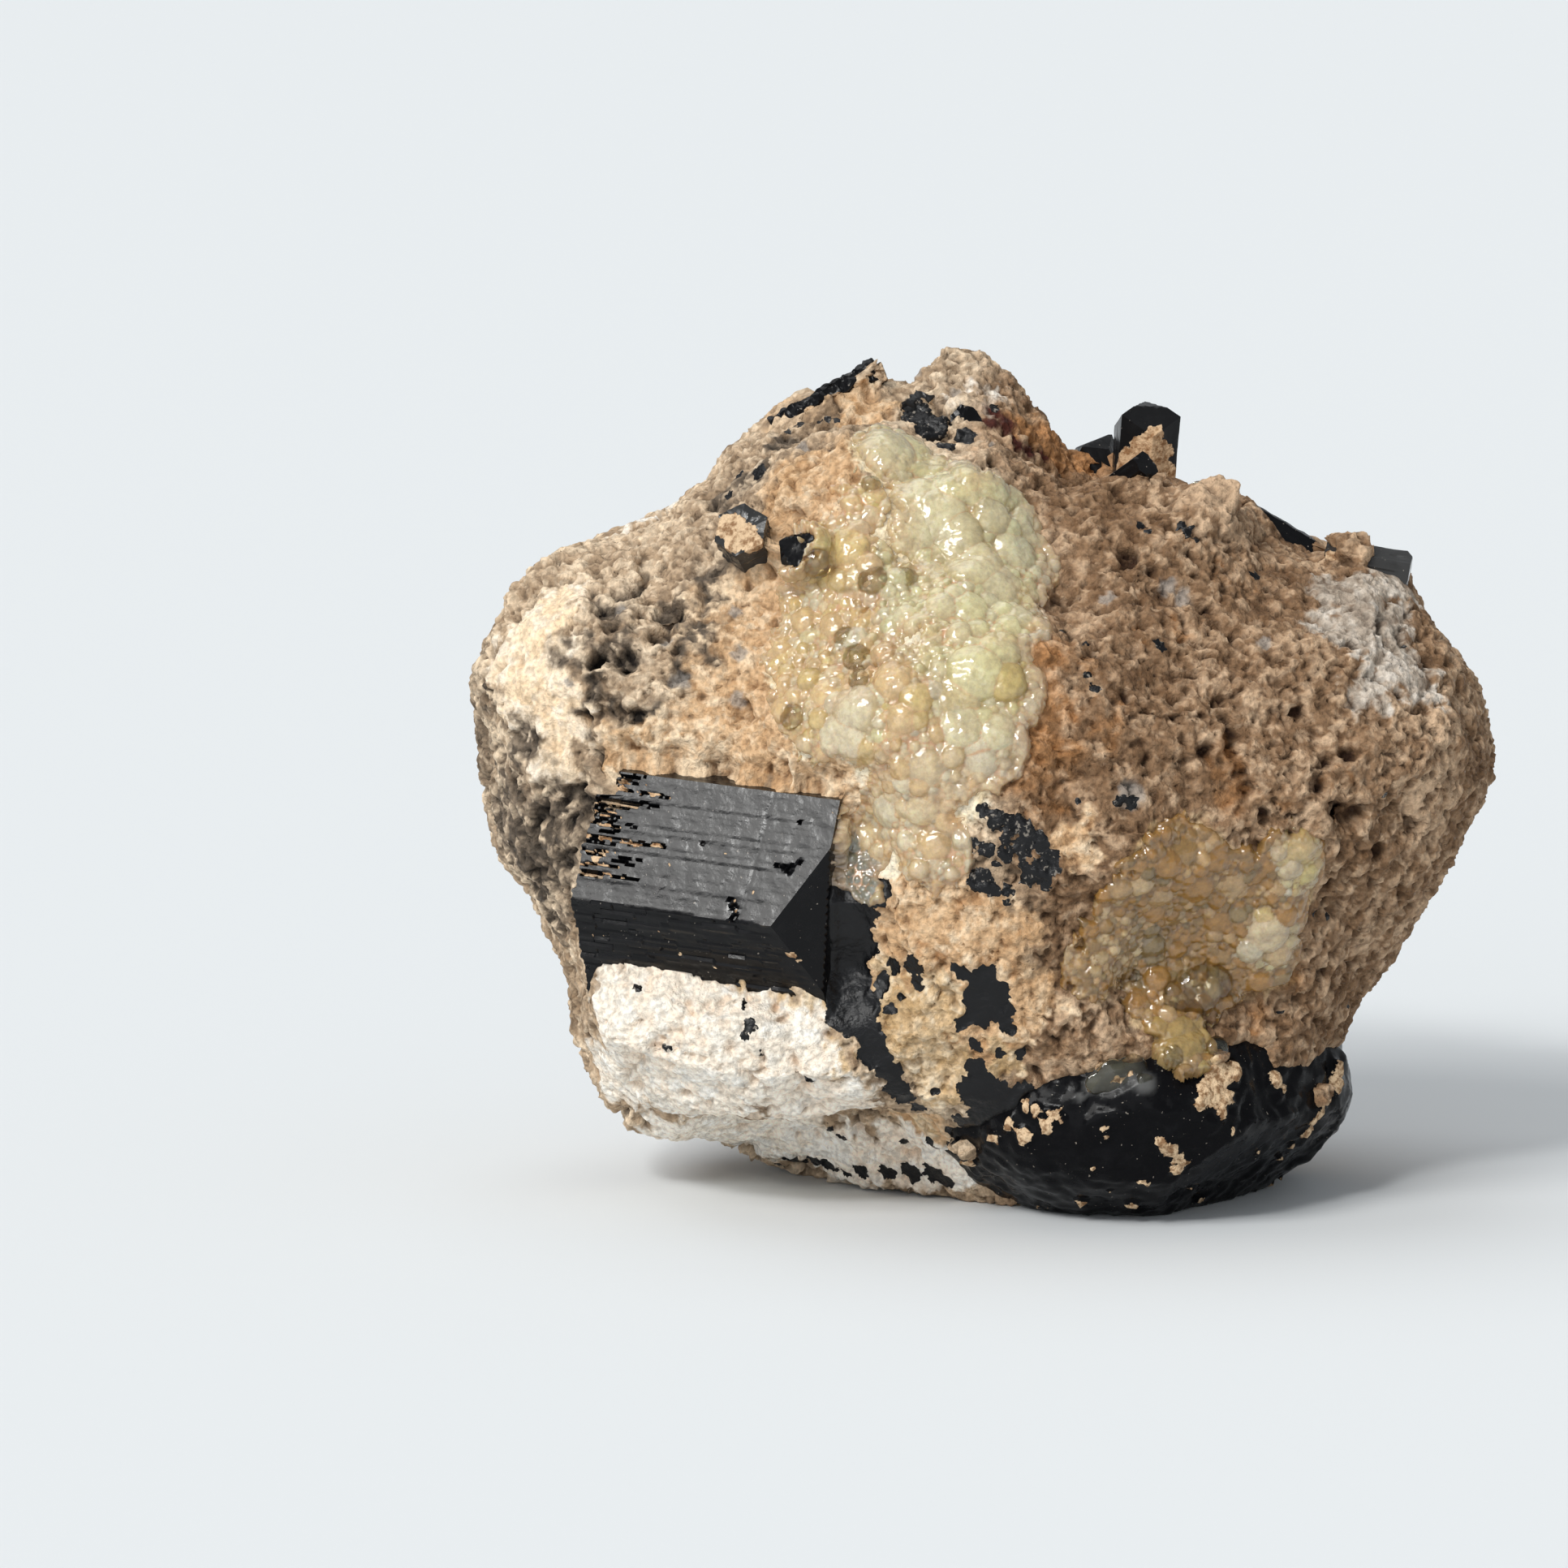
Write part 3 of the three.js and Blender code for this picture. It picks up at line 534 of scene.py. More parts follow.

# The feldspar's colours: in its pits, where they are painted shade with some brown dirt, of its dark crumbs, of most of
# them and of its pale ones.
PALETTE = {
    "lumpy": ((0.045, 0.03, 0.02), (0.24, 0.16, 0.095), (0.54, 0.39, 0.255), (0.88, 0.7, 0.5)),
    # the right side's colours, darkened as painted shade where the light falls off towards the right
    "worn_and_shaded": ((0.045, 0.02, 0.008), (0.16, 0.085, 0.04), (0.3, 0.18, 0.098), (0.62, 0.43, 0.275)),
    "cream": ((0.2, 0.1, 0.04), (0.5, 0.29, 0.14), (0.72, 0.475, 0.27), (0.9, 0.7, 0.48)),
    "yellow": ((0.25, 0.14, 0.055), (0.52, 0.34, 0.165), (0.73, 0.52, 0.3), (0.9, 0.74, 0.53)),
    "white": ((0.76, 0.56, 0.4), (0.98, 0.82, 0.66), (1.0, 0.9, 0.76), (1.0, 0.96, 0.88)),
    "cheek": ((0.5, 0.32, 0.18), (0.9, 0.66, 0.42), (0.97, 0.76, 0.53), (0.99, 0.85, 0.68)),
    "chalk": ((0.11, 0.08, 0.058), (0.32, 0.25, 0.19), (0.5, 0.415, 0.33), (0.72, 0.64, 0.55)),
    "dark_grey": ((0.018, 0.014, 0.011), (0.05, 0.038, 0.028), (0.16, 0.122, 0.088), (0.42, 0.33, 0.24)),
    "pale_bed": ((0.45, 0.3, 0.14), (0.8, 0.63, 0.38), (0.9, 0.76, 0.52), (0.95, 0.86, 0.68)),
    "amber_bed": ((0.1, 0.055, 0.022), (0.27, 0.16, 0.07), (0.42, 0.27, 0.125), (0.66, 0.48, 0.28)),
}
RUST_COLOUR = (0.42, 0.195, 0.07)
MAROON_COLOUR = (0.075, 0.018, 0.011)
CLAST_COLOUR = (0.4, 0.36, 0.32)
BLACK_COLOUR = (0.004, 0.004, 0.0048)
DUST_COLOUR = (0.42, 0.37, 0.31)
# Spots painted darker as painted shade, mostly on the upper right where the light falls off, and a few lower ones.
SHADE_SPOTS = [
    (1380, 690, 4), (1450, 720, 3.4), (1340, 640, 2.6), (1450, 820, 3.4), (1520, 880, 3), (1550, 740, 3),
    (1150, 1270, 1.8), (1130, 1230, 1.2), (1600, 950, 2.4), (645, 1050, 2.2),
]
# Spots made paler: paler feldspar on some lumps, such as at the right end, and painted light on the right and left
# edges and on the white lobe's underside.
PALER_AND_LIT = [
    (1668, 668, 1.8), (1650, 660, 1.5), (1490, 618, 1.8), (1412, 590, 1.2), (1765, 930, 3), (1755, 880, 2.6),
    (1760, 990, 3), (1700, 1150, 1.6), (860, 915, 2), (820, 905, 1.6), (930, 1420, 2), (1000, 1410, 2), (612, 925, 1.8),
    (785, 800, 1.2), (820, 860, 1),
]

tone = 0.5 + 0.6 * (crumb_tone - 0.5) + 0.25 * (lump_tone - 0.5) + 0.45 * (grain_tone - 0.5) + 0.25 * clouds
# The tone: raised on crests as painted light, lowered in the shade spots as painted shade, and raised in the paler
# spots, partly as painted light.
painted_shade, paler_and_lit = patch(broad_warped, SHADE_SPOTS, 0.5), patch(broad_warped, PALER_AND_LIT, 0.5)
tone = np.clip(tone + 0.2 * crest - 0.14 * painted_shade + 0.3 * paler_and_lit, 0, 1)[:, None]


def of_kind(name):
    """The colour of each point of the rock, if the rock were all of one kind, darkened in its pits and hollows by
    painted shade with some brown dirt.
    """
    deep, dark, usual, pale = (np.array(colour) for colour in PALETTE[name])
    colour = dark + (usual - dark) * np.clip(tone * 2, 0, 1) + (pale - usual) * np.clip(tone * 2 - 1, 0, 1)
    return blended(colour, deep, pit)


rock_tint = of_kind("lumpy")
edge_tone = 0.5 * (crumb_tone - 0.5) + 0.3 * (grain_tone - 0.5)
for name, amount in (ZONES | {"chalk": chalk * 0.8}).items():
    if name in PALETTE:
        ragged_amount = ramp(amount + edge_tone * 4 * amount * (1 - amount), 0.25, 0.75)
        rock_tint = blended(rock_tint, of_kind(name), ragged_amount)
dark_greyed = dark_grey * ramp(pit - tone[:, 0], -1.1, -0.4)
rock_tint = blended(rock_tint, of_kind("dark_grey"), dark_greyed)
valley = patch(warped, [(1300, 545, 1.4), (1335, 562, 1.4), (1275, 532, 1.0), (1250, 520, 0.8)], 0.5)
valley = np.maximum(valley, 0.7 * patch(broad_warped, [(1275, 860, 1.8), (1290, 920, 1.5), (1270, 805, 1.4)], 0.6))
rusty = np.clip(rust * (0.3 + 0.5 * (1 - tone[:, 0]) + 0.5 * pit) + 0.55 * valley, 0, 0.8)
rock_tint = blended(rock_tint, RUST_COLOUR * (0.5 + tone), rusty)
rock_tint = blended(rock_tint, MAROON_COLOUR, maroon)
rock_tint = blended(rock_tint, CLAST_COLOUR, clasts * 0.7)
rock_tint = np.clip(rock_tint, 0.01, 1)


def mask(tree, name, output="Fac"):
    return put(tree, "ShaderNodeAttribute", {"attribute_name": name}).outputs[output]


def grain(tree, size, detail=3.0, roughness=0.55):
    """Noise with lumps of a size in millimetres, fixed to the piece."""
    place = put(tree, "ShaderNodeTexCoord").outputs["Object"]
    scale = 1 / (size * MM)
    return put(tree, "ShaderNodeTexNoise", Vector=place, Scale=scale, Detail=detail, Roughness=roughness).outputs["Fac"]


def level(tree, value, low, high, bottom=0.0, top=1.0):
    """Maps low..high of a value to bottom..top, smoothly."""
    node = put(tree, "ShaderNodeMapRange", {"interpolation_type": "SMOOTHSTEP"}, Value=value)
    for name, number in (("From Min", low), ("From Max", high), ("To Min", bottom), ("To Max", top)):
        node.inputs[name].default_value = number
    return node.outputs["Result"]


def sums(tree, operation, *values):
    node = put(tree, "ShaderNodeMath", {"operation": operation, "use_clamp": False})
    for socket, value in zip(node.inputs, values):
        feed(tree, socket, value)
    return node.outputs["Value"]


def mixed(tree, amount, under, over, mode="MIX"):
    """One colour over another, each a colour or a socket."""
    node = put(tree, "ShaderNodeMix", {"data_type": "RGBA", "blend_type": mode})
    for number, value in ((0, amount), (6, under), (7, over)):
        feed(tree, node.inputs[number], (*value, 1) if isinstance(value, tuple) else value)
    return node.outputs[2]


def feldspar_finish():
    """Crumbly feldspar in the colours of its tint, darkened by painted shade in its fine pits, black where its masks
    say.
    """
    material, tree, shader = finish("feldspar", roughness=0.85, specular=0.3)
    crumb_place = put(tree, "ShaderNodeTexCoord").outputs["Object"]
    fine_crumbs = put(tree, "ShaderNodeTexVoronoi", Vector=crumb_place, Scale=1 / (0.4 * MM)).outputs["Distance"]
    fine_dips = sums(tree, "MULTIPLY", fine_crumbs, 0.45)
    fine_height = sums(tree, "SUBTRACT", grain(tree, 0.3, 4.0, 0.65), fine_dips)
    # painted shade: the tint is darkened where the fine relief is low, in the fine pits that the bump also makes
    fine_pit_shade = level(tree, fine_height, 0.05, 0.42, 0.74, 1.12)
    fine_shaded_tint = mixed(tree, 1.0, mask(tree, "tint", "Color"), fine_pit_shade, "MULTIPLY")
    ragged_edge = level(tree, grain(tree, 0.3), 0.3, 0.7, -0.22, 0.22)
    trail_there = level(tree, sums(tree, "ADD", mask(tree, "trail"), ragged_edge), 0.46, 0.54)
    flower_there = level(tree, sums(tree, "ADD", mask(tree, "flower"), ragged_edge), 0.46, 0.54)
    dust = level(tree, grain(tree, 0.28, 2.0), 0.6, 0.7, 0.0, 0.5)
    dusty_black = mixed(tree, dust, BLACK_COLOUR, DUST_COLOUR)
    rock_colour = mixed(tree, trail_there, fine_shaded_tint, BLACK_COLOUR)
    rock_colour = mixed(tree, flower_there, rock_colour, dusty_black)
    tree.links.new(rock_colour, shader.inputs["Base Color"])
    black_there = sums(tree, "MAXIMUM", trail_there, flower_there)
    glints = level(tree, grain(tree, 0.32, 1.0), 0.6, 0.68, 0.88, 0.4)
    rock_gloss = sums(tree, "SUBTRACT", glints, sums(tree, "MULTIPLY", black_there, 0.62))
    tree.links.new(sums(tree, "MAXIMUM", rock_gloss, 0.2), shader.inputs["Roughness"])
    rough_height = sums(tree, "MULTIPLY", fine_height, level(tree, black_there, 0.0, 1.0, 1.0, 0.25))
    bump(tree, shader, 0.8, 0.35, rough_height)
    return material


BACK_KEPT = 0.13  # the share of the skin's triangles kept where it faces away or lies hidden
masks = {"trail": trail, "flower": flower, "red": rock_tint[:, 0], "green": rock_tint[:, 1], "blue": rock_tint[:, 2]}
work = added("whole_rock", mesh_of("whole_rock", rock_surface, rock_quads.tolist(), masks))
away = ((rock_normals[:, 1] > 0.2) & (y > COARSE_FROM)) | (rock_surface[:, 2] < 0.3) | (share > 0.9)
coarse_group = work.vertex_groups.new(name="coarse")
coarse_group.add(np.flatnonzero(away).tolist(), 1.0, "REPLACE")
thin = work.modifiers.new("thin", "DECIMATE")
thin.ratio = 1 - away.mean() * (1 - BACK_KEPT)
thin.vertex_group = "coarse"
thin.vertex_group_factor = 1000
thinned = result_of(work)
thin_points, thin_normals = numbers_of(thinned.vertices, "co"), numbers_of(thinned.vertex_normals, "vector")
thin_masks = np.hstack([numbers_of(thinned.attributes[name].data, "value", 1) for name in masks])
thin_faces = [tuple(face.vertices) for face in thinned.polygons]
slab = np.searchsorted(ROCK_SPLITS, [thin_points[face[0], 0] for face in thin_faces])


def cut_out(faces):
    """The points that some faces of a mesh use, and those faces counted in those points."""
    used, corners = np.unique(np.concatenate(faces), return_inverse=True)
    ends = np.cumsum([len(face) for face in faces])
    return used, [tuple(corners[end - len(face):end].tolist()) for face, end in zip(faces, ends)]


def piece_from(name, points, faces, material, smooth_angle=None, masks=()):
    """A new piece from points in millimetres, riding on the specimen."""
    data = mesh_of(name, np.asarray(points) * MM, faces, masks)
    data.polygons.foreach_set("use_smooth", [True] * len(data.polygons))
    if smooth_angle is not None:
        data.set_sharp_from_angle(angle=math.radians(smooth_angle))
    data.materials.append(material)
    piece = added(name, data)
    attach(piece, "root")
    return piece


rock_material = feldspar_finish()
for number, side in enumerate(("left", "middle", "right")):
    used, faces = cut_out([thin_faces[index] for index in np.flatnonzero(slab == number)])
    own = thin_masks[used]
    own_masks = {"trail": own[:, 0].copy(), "flower": own[:, 1].copy(), "tint": own[:, 2:]}
    rock = piece_from("feldspar_" + side, thin_points[used], faces, rock_material, masks=own_masks)
    rock.data.normals_split_custom_set_from_vertices(thin_normals[used].tolist())
    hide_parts("feldspar_matrix")

# The schorl mass that the rock stands on at its lower right: one worn lump of black tourmaline, glassy where it broke,
# with crumbs and rags of feldspar still grown on it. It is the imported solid, skinned and worn finely.
BASE_PITCH = 0.27
BASE_FELDSPAR = [
    (1500, 1325, 0.9), (1490, 1345, 0.8), (1512, 1355, 0.6), (1520, 1318, 0.6), (1478, 1360, 0.4), (1505, 1370, 0.4),
    (1572, 1330, 0.45), (1580, 1342, 0.3), (1440, 1415, 0.55), (1455, 1428, 0.55), (1432, 1405, 0.35),
    (1448, 1440, 0.35), (1408, 1457, 0.25), (1359, 1392, 0.3), (1362, 1402, 0.2), (1280, 1368, 0.4), (1265, 1360, 0.35),
    (1290, 1388, 0.3), (1634, 1356, 0.5), (1622, 1375, 0.5), (1608, 1392, 0.45), (1647, 1318, 0.5), (1645, 1335, 0.5),
    (1592, 1410, 0.35), (1340, 1310, 0.3), (1390, 1484, 0.3), (1330, 1482, 0.3), (1480, 1479, 0.3), (1190, 1430, 0.4),
    (1262, 1398, 0.5), (1246, 1382, 0.5), (1302, 1376, 0.4), (1228, 1402, 0.4), (1376, 1330, 0.35), (1392, 1326, 0.3),
    (1362, 1340, 0.3), (1520, 1395, 0.15),
]
BASE_GREY = [(1365, 1325, 1.0), (1390, 1320, 0.8), (1410, 1335, 0.6), (1345, 1335, 0.5), (1330, 1350, 0.3)]

base_points, base_normals, base_quads = skinned([solid_of("base_schorl")], BASE_PITCH)
base_tree = BVHTree.FromPolygons(base_points.tolist(), base_quads.tolist())
base_warp = wander(base_points, 0.8, 11)
base_coat = patch(base_points + base_warp * 0.35, BASE_FELDSPAR, 0.25, base_tree)
scattered = ramp(spread_noise(base_points, 1.3, 4, 14), 0.85, 0.92) * 0.9
rear = ramp(base_points[:, 1], 1, 5)
lower_rim = ramp(-base_points[:, 2], -0.8, -0.2) * ramp(spread_noise(base_points, 1.6, 3, 15), 0.5, 0.65)
base_coat = np.maximum(base_coat, np.maximum(scattered, lower_rim))
base_coat = np.maximum(base_coat, rear * ramp(spread_noise(base_points, 4, 3, 16), -0.2, 0.1))
base_facets, base_edges, _ = crumbled(base_points + base_warp * 0.4, 4.2, 17)
base_crumbs, _, _ = crumbled(base_points + base_warp * 0.25, 0.8, 18)
base_relief = 0.3 * (base_facets - 0.8) - 0.08 * base_edges + 0.22 * spread_noise(base_points, 3.5, 3, 19)
base_relief += 0.12 * spread_noise(base_points, 1.1, 4, 20) + base_coat * (0.25 + 0.4 * (base_crumbs - 0.5))
base_surface = base_points + base_normals * base_relief[:, None]
base_surface[:, 2] = np.maximum(base_surface[:, 2], 0.02)
COAT_DARK = (0.25, 0.14, 0.07)
COAT_PALE = (0.75, 0.55, 0.35)
GREYED_COLOUR = (0.1, 0.1, 0.098)
STREAK_COLOUR = (0.007, 0.007, 0.008)


def schorl_finish(name, specular):
    """Black tourmaline with feldspar and dust clinging to it where its masks say."""
    material, tree, shader = finish(name, BLACK_COLOUR, specular=specular)
    coat_edge = level(tree, grain(tree, 0.3), 0.3, 0.7, -0.2, 0.2)
    coat_there = level(tree, sums(tree, "ADD", mask(tree, "coat"), coat_edge), 0.44, 0.54)
    coat_fine = grain(tree, 0.45, 4.0, 0.65)
    coat_colour = mixed(tree, level(tree, coat_fine, 0.36, 0.6), COAT_DARK, COAT_PALE)
    coat_colour = mixed(tree, mask(tree, "coat_rust"), coat_colour, RUST_COLOUR)
    speckled = level(tree, grain(tree, 0.2, 1.0), 0.745, 0.78, 0.0, 0.5)
    streaks = level(tree, grain(tree, 1.1, 4.0, 0.7), 0.5, 0.75)
    black_mottled = mixed(tree, streaks, BLACK_COLOUR, STREAK_COLOUR)
    black_dusty = mixed(tree, speckled, black_mottled, DUST_COLOUR)
    greyed = mixed(tree, mask(tree, "greyed"), black_dusty, GREYED_COLOUR)
    tree.links.new(mixed(tree, coat_there, greyed, coat_colour), shader.inputs["Base Color"])
    glassy = level(tree, grain(tree, 0.9, 4.0), 0.3, 0.7, 0.12, 0.26)
    coat_dull = sums(tree, "MULTIPLY_ADD", coat_there, 0.6, glassy)
    tree.links.new(coat_dull, shader.inputs["Roughness"])
    bump(tree, shader, 0.6, 0.3, sums(tree, "MULTIPLY", grain(tree, 0.22), level(tree, coat_there, 0, 1, 0.05, 1.0)))
    return material


base_finish = schorl_finish("base_schorl", 0.07)
base_masks = {"coat": base_coat, "coat_rust": base_coat * 0, "greyed": patch(base_points, BASE_GREY, 0.5, base_tree)}
base = piece_from("base_mass", base_surface, base_quads.tolist(), base_finish, masks=base_masks)
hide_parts("base_schorl")

# The schorl crystals: six-sided black tourmaline prisms with three-faced points, grown in the rock. Fine ribs run
# along their faces, ragged slots run into the largest from its broken left end, and feldspar clings to some of them.
PRISM_FACES = 6
POINT_ANGLE = math.radians(46)  # between a crystal's axis and a point face's normal
# Each crystal's middle, its axis, where one of its faces looks, the width of its faces, and how far it runs from its
# middle to the shoulder of its point, back to its broken end, and to its tip.
CRYSTALS = {
    "main_schorl": [((-10.4, -11.1, 19.4), (0.94, -0.3, -0.085), (-0.21, -0.858, 0.371), 8, 2.75, 12.3, 8.4)],
    "standing_schorl": [
        ((9.9, 6.5, 42.2), (0.06, -0.1, 1), (-0.4, -1, 0), 2.1, 4.6, 5, 5.2),
        ((7.5, 8.7, 42.2), (-0.4, 0.1, 1), (0.2, -1, 0), 1.5, 2.2, 4, 2.9),
    ],
    "crest_schorl": [((8.5, -4.6, 43.3), (0.7, -0.7, 0.6), (0.3, -0.6, 1), 0.9, 1.7, 3, 2.4)],
    "right_ridge_schorl": [((17.4, 0.5, 39.1), (0.85, 0.1, -0.5), (0.2, -0.9, 0.45), 1.5, 2.3, 2.6, 4.6)],
    "right_end_schorl": [((23, -2.6, 37.3), (0.96, -0.12, -0.16), (-0.1, -0.94, 0.2), 1.8, 2.4, 2.8, 3.9)],
    "left_end_schorl": [((-14.2, -9.2, 39.9), (-0.2, -0.85, 0.5), (0.6, 0, 1), 1.7, 1.8, 3, 4)],
    "beaded_schorl": [((-10.4, -10.8, 38.9), (-0.45, -0.8, 0.5), (0.3, 0, 1), 1.3, 2.1, 3, 2.9)],
    "ridge_schorl": [((-9.4, 5.2, 47.1), (0.87, 0.1, 0.5), (-0.3, -0.8, 0.5), 0.9, 3.6, 3.6, 4.6)],
    "peak_left_schorl": [((-4.1, 5, 45.8), (0.3, -0.95, 0.3), (0.5, 0, 1), 1.6, 1.8, 3, 3.2)],
    "peak_right_schorl": [((-1.2, 4, 45.3), (0.1, -0.9, 0.4), (1, 0, 0.4), 1.1, 1.8, 3, 2.8)],
    "back_long_schorl": [((4, 17.7, 16), (0.8, 0.15, 0.55), (0.1, 1, -0.2), 2.3, 7.5, 7.5, 10)],
    "back_short_schorl": [((-15, 15.6, 27), (-0.3, 0.85, 0.4), (1, 0, 0.6), 2.4, 4.4, 5, 6.4)],
}


def step_noise(values, width, seed):
    """Steps of random height, -1 to 1, each about a width across."""
    return np.array([noise.cell(Vector((value / width, seed * 7.7, 0.3))) for value in values])


def crystal_mesh(at, axis, facing, side, front, back, point, pitch, ribs, end_cut, hidden_faces=()):
    """A crystal as rows of points round its axis, closed by its point and its broken end.

    ribs(face, across, along) gives how far points stand out of a prism face, and how much feldspar fills them, and
    end_cut(face, across) how far short of its end each column of points stops.
    """
    forward = Vector(axis).normalized()
    face_normal = (Vector(facing) - forward * forward.dot(Vector(facing))).normalized()
    frame_axes = np.array([face_normal, forward.cross(face_normal), forward])
    apothem = side * math.cos(math.pi / PRISM_FACES)
    columns, outward, faces_of, acrosses = [], [], [], []
    for number in range(PRISM_FACES):
        turn = number * 2 * math.pi / PRISM_FACES
        normal = np.array([math.cos(turn), math.sin(turn)])
        tangent = np.array([-math.sin(turn), math.cos(turn)])
        steps = max(4, round(side / pitch / (6 if number in hidden_faces else 1)))
        for step in range(steps):
            across = (step / steps - 0.5) * side
            columns.append(normal * apothem + tangent * across)
            outward.append(normal)
            faces_of.append(number)
            acrosses.append(across)
    columns, outward = np.array(columns), np.array(outward)
    faces_of, acrosses = np.array(faces_of), np.array(acrosses)
    point_turns = np.array([math.pi / 6 + k * 2 * math.pi / 3 for k in range(3)])
    point_ways = np.stack([np.cos(point_turns), np.sin(point_turns)], axis=1)

    def height(flat):
        planes = point - math.tan(POINT_ANGLE) * (flat @ point_ways.T)
        return np.minimum(planes.min(axis=1), front)

    top = height(columns)
    bottom = -back + end_cut(faces_of, acrosses)
    rings, fills = [], []
    rows = round((front + back) / pitch)
    for row in range(rows + 1):
        along = bottom + (top - bottom) * row / rows
        out, fill = ribs(faces_of, acrosses, along)
        fade = min(1, 6 * (rows - row) / rows)
        rings.append(np.column_stack([columns + outward * (out * fade)[:, None], along]))
        fills.append(fill)
    cap_rows = max(4, round(apothem / pitch / 2))
    for row in range(1, cap_rows):
        flat = columns * (1 - row / cap_rows)
        rings.append(np.column_stack([flat, height(flat)]))
    under = []
    for row in range(1, max(3, cap_rows // 3)):
        share = row / max(3, cap_rows // 3)
        under.append(np.column_stack([columns * (1 - share), bottom * (1 - share) - back * share]))
    count = len(columns)
    plain = np.zeros(count)
    fills = [plain] * len(under) + fills + [plain] * (len(rings) - len(fills))
    rings = under[::-1] + rings
    points = np.concatenate(rings + [[(0, 0, -back)], [(0, 0, height(np.zeros((1, 2)))[0])]])
    faces = []
    for ring in range(len(rings) - 1):
        low = ring * count
        faces += [(low + i, low + (i + 1) % count, low + count + (i + 1) % count, low + count + i)
                  for i in range(count)]
    tail, tip = len(points) - 2, len(points) - 1
    last = (len(rings) - 1) * count
    faces += [(tail, (i + 1) % count, i) for i in range(count)]
    faces += [(tip, last + i, last + (i + 1) % count) for i in range(count)]
    return points @ frame_axes + np.array(at), faces, np.concatenate(fills + [[0, 0]])


def plain_ribs(seed, depth):
    """Ribs for a crystal without slots."""
    def ribs(face, across, along):
        place = across + face * 31.7
        out = step_noise(place, 0.75, seed) * 0.6 + step_noise(place, 0.27, seed + 1) * 0.4
        return depth * (out - 0.6), np.zeros(len(across))
    return ribs


def plain_end(seed, depth):
    """A slightly ragged broken end."""
    def end_cut(face, across):
        return depth * np.abs(step_noise(across + face * 13.1, 0.6, seed))
    return end_cut


MAIN_PITCH = 0.12
MAIN_BACK = CRYSTALS["main_schorl"][0][5]
LATH_FACE = 0
LOWER_FACE = 1
MAIN_HIDDEN_FACES = (2, 3, 4)
TOP_FACE = 5
LINE_DEPTH = 0.014
FILLED_DEPTH = 0.04  # how deep the feldspar lies that fills a slot
LATH_STEP = 0.11
CRACK_DEPTH = 0.015
CRACK_HALF = 0.07
CRACK_ALONG = -1.3  # where a fine crack crosses the largest face, at its upper edge
CRACK_LEAN = 0.066
random.seed(5)
SLOTS = [{
    "across": random.uniform(-3.9, 2.6), "half": random.uniform(0.05, 0.12),
    "start": random.choice((0, 0, 1)) * random.uniform(0.3, 3.0), "long": random.uniform(0.6, 3.6),
    "deep": random.uniform(0.2, 0.55), "filled": random.random() < 0.4, "phase": random.uniform(0, 6),
} for _ in range(40)]


def short_of_end(face, across):
    """How far short of the largest crystal's broken end its laths stop."""
    ragged_end = 0.5 + 0.5 * step_noise(across, 0.3, 34)
    stagger = np.where(across < -2.5, 1.3, np.where(across < 0.4, 0.15, 0.0)) + 0.3 * ragged_end
    return np.where(face == LATH_FACE, stagger, np.where(face == TOP_FACE, 1.4, 0.15 * ragged_end))


def main_ribs(face, across, along):
    """The largest crystal's fine lines, the slots in its lath face, and the steps of its lower face."""
    fine_lines = step_noise(across + face * 5.3, 0.9, 31) * 0.5 + step_noise(across + face * 5.3, 0.24, 32) * 0.5
    out = LINE_DEPTH * fine_lines - LINE_DEPTH
    fill = np.zeros(len(across))
    upper = face == LATH_FACE
    for slot in SLOTS:
        start = -MAIN_BACK + slot["start"]
        sway = 0.05 * np.sin(along * 2.3 + slot["phase"]) + 0.03 * np.sin(along * 7.1 + slot["phase"])
        beside = np.abs(across - slot["across"] - sway)
        narrowing = np.clip((start + slot["long"] - along) / 0.8, 0, 1) * np.clip((along - start + 0.1) / 0.2, 0, 1)
        inside = upper & (beside < slot["half"] * narrowing)
        out = np.where(inside, np.minimum(out, -slot["deep"]), out)
        if slot["filled"]:
            filling = inside & (np.sin(along * 5 + slot["phase"]) > -0.3)
            out = np.where(filling, -FILLED_DEPTH, out)
            fill = np.where(filling, 1.0, fill)
    crack = np.abs(along - CRACK_ALONG + CRACK_LEAN * (across + 4) + 0.04 * np.sin(across * 4))
    out = out - CRACK_DEPTH * (upper & (crack < CRACK_HALF))
    lath_steps = step_noise(across + np.floor(along / 2.1 + 0.4 * step_noise(across, 0.5, 35)) * 3.1, 0.42, 33)
    return out + np.where(face == LOWER_FACE, LATH_STEP * lath_steps, 0), fill


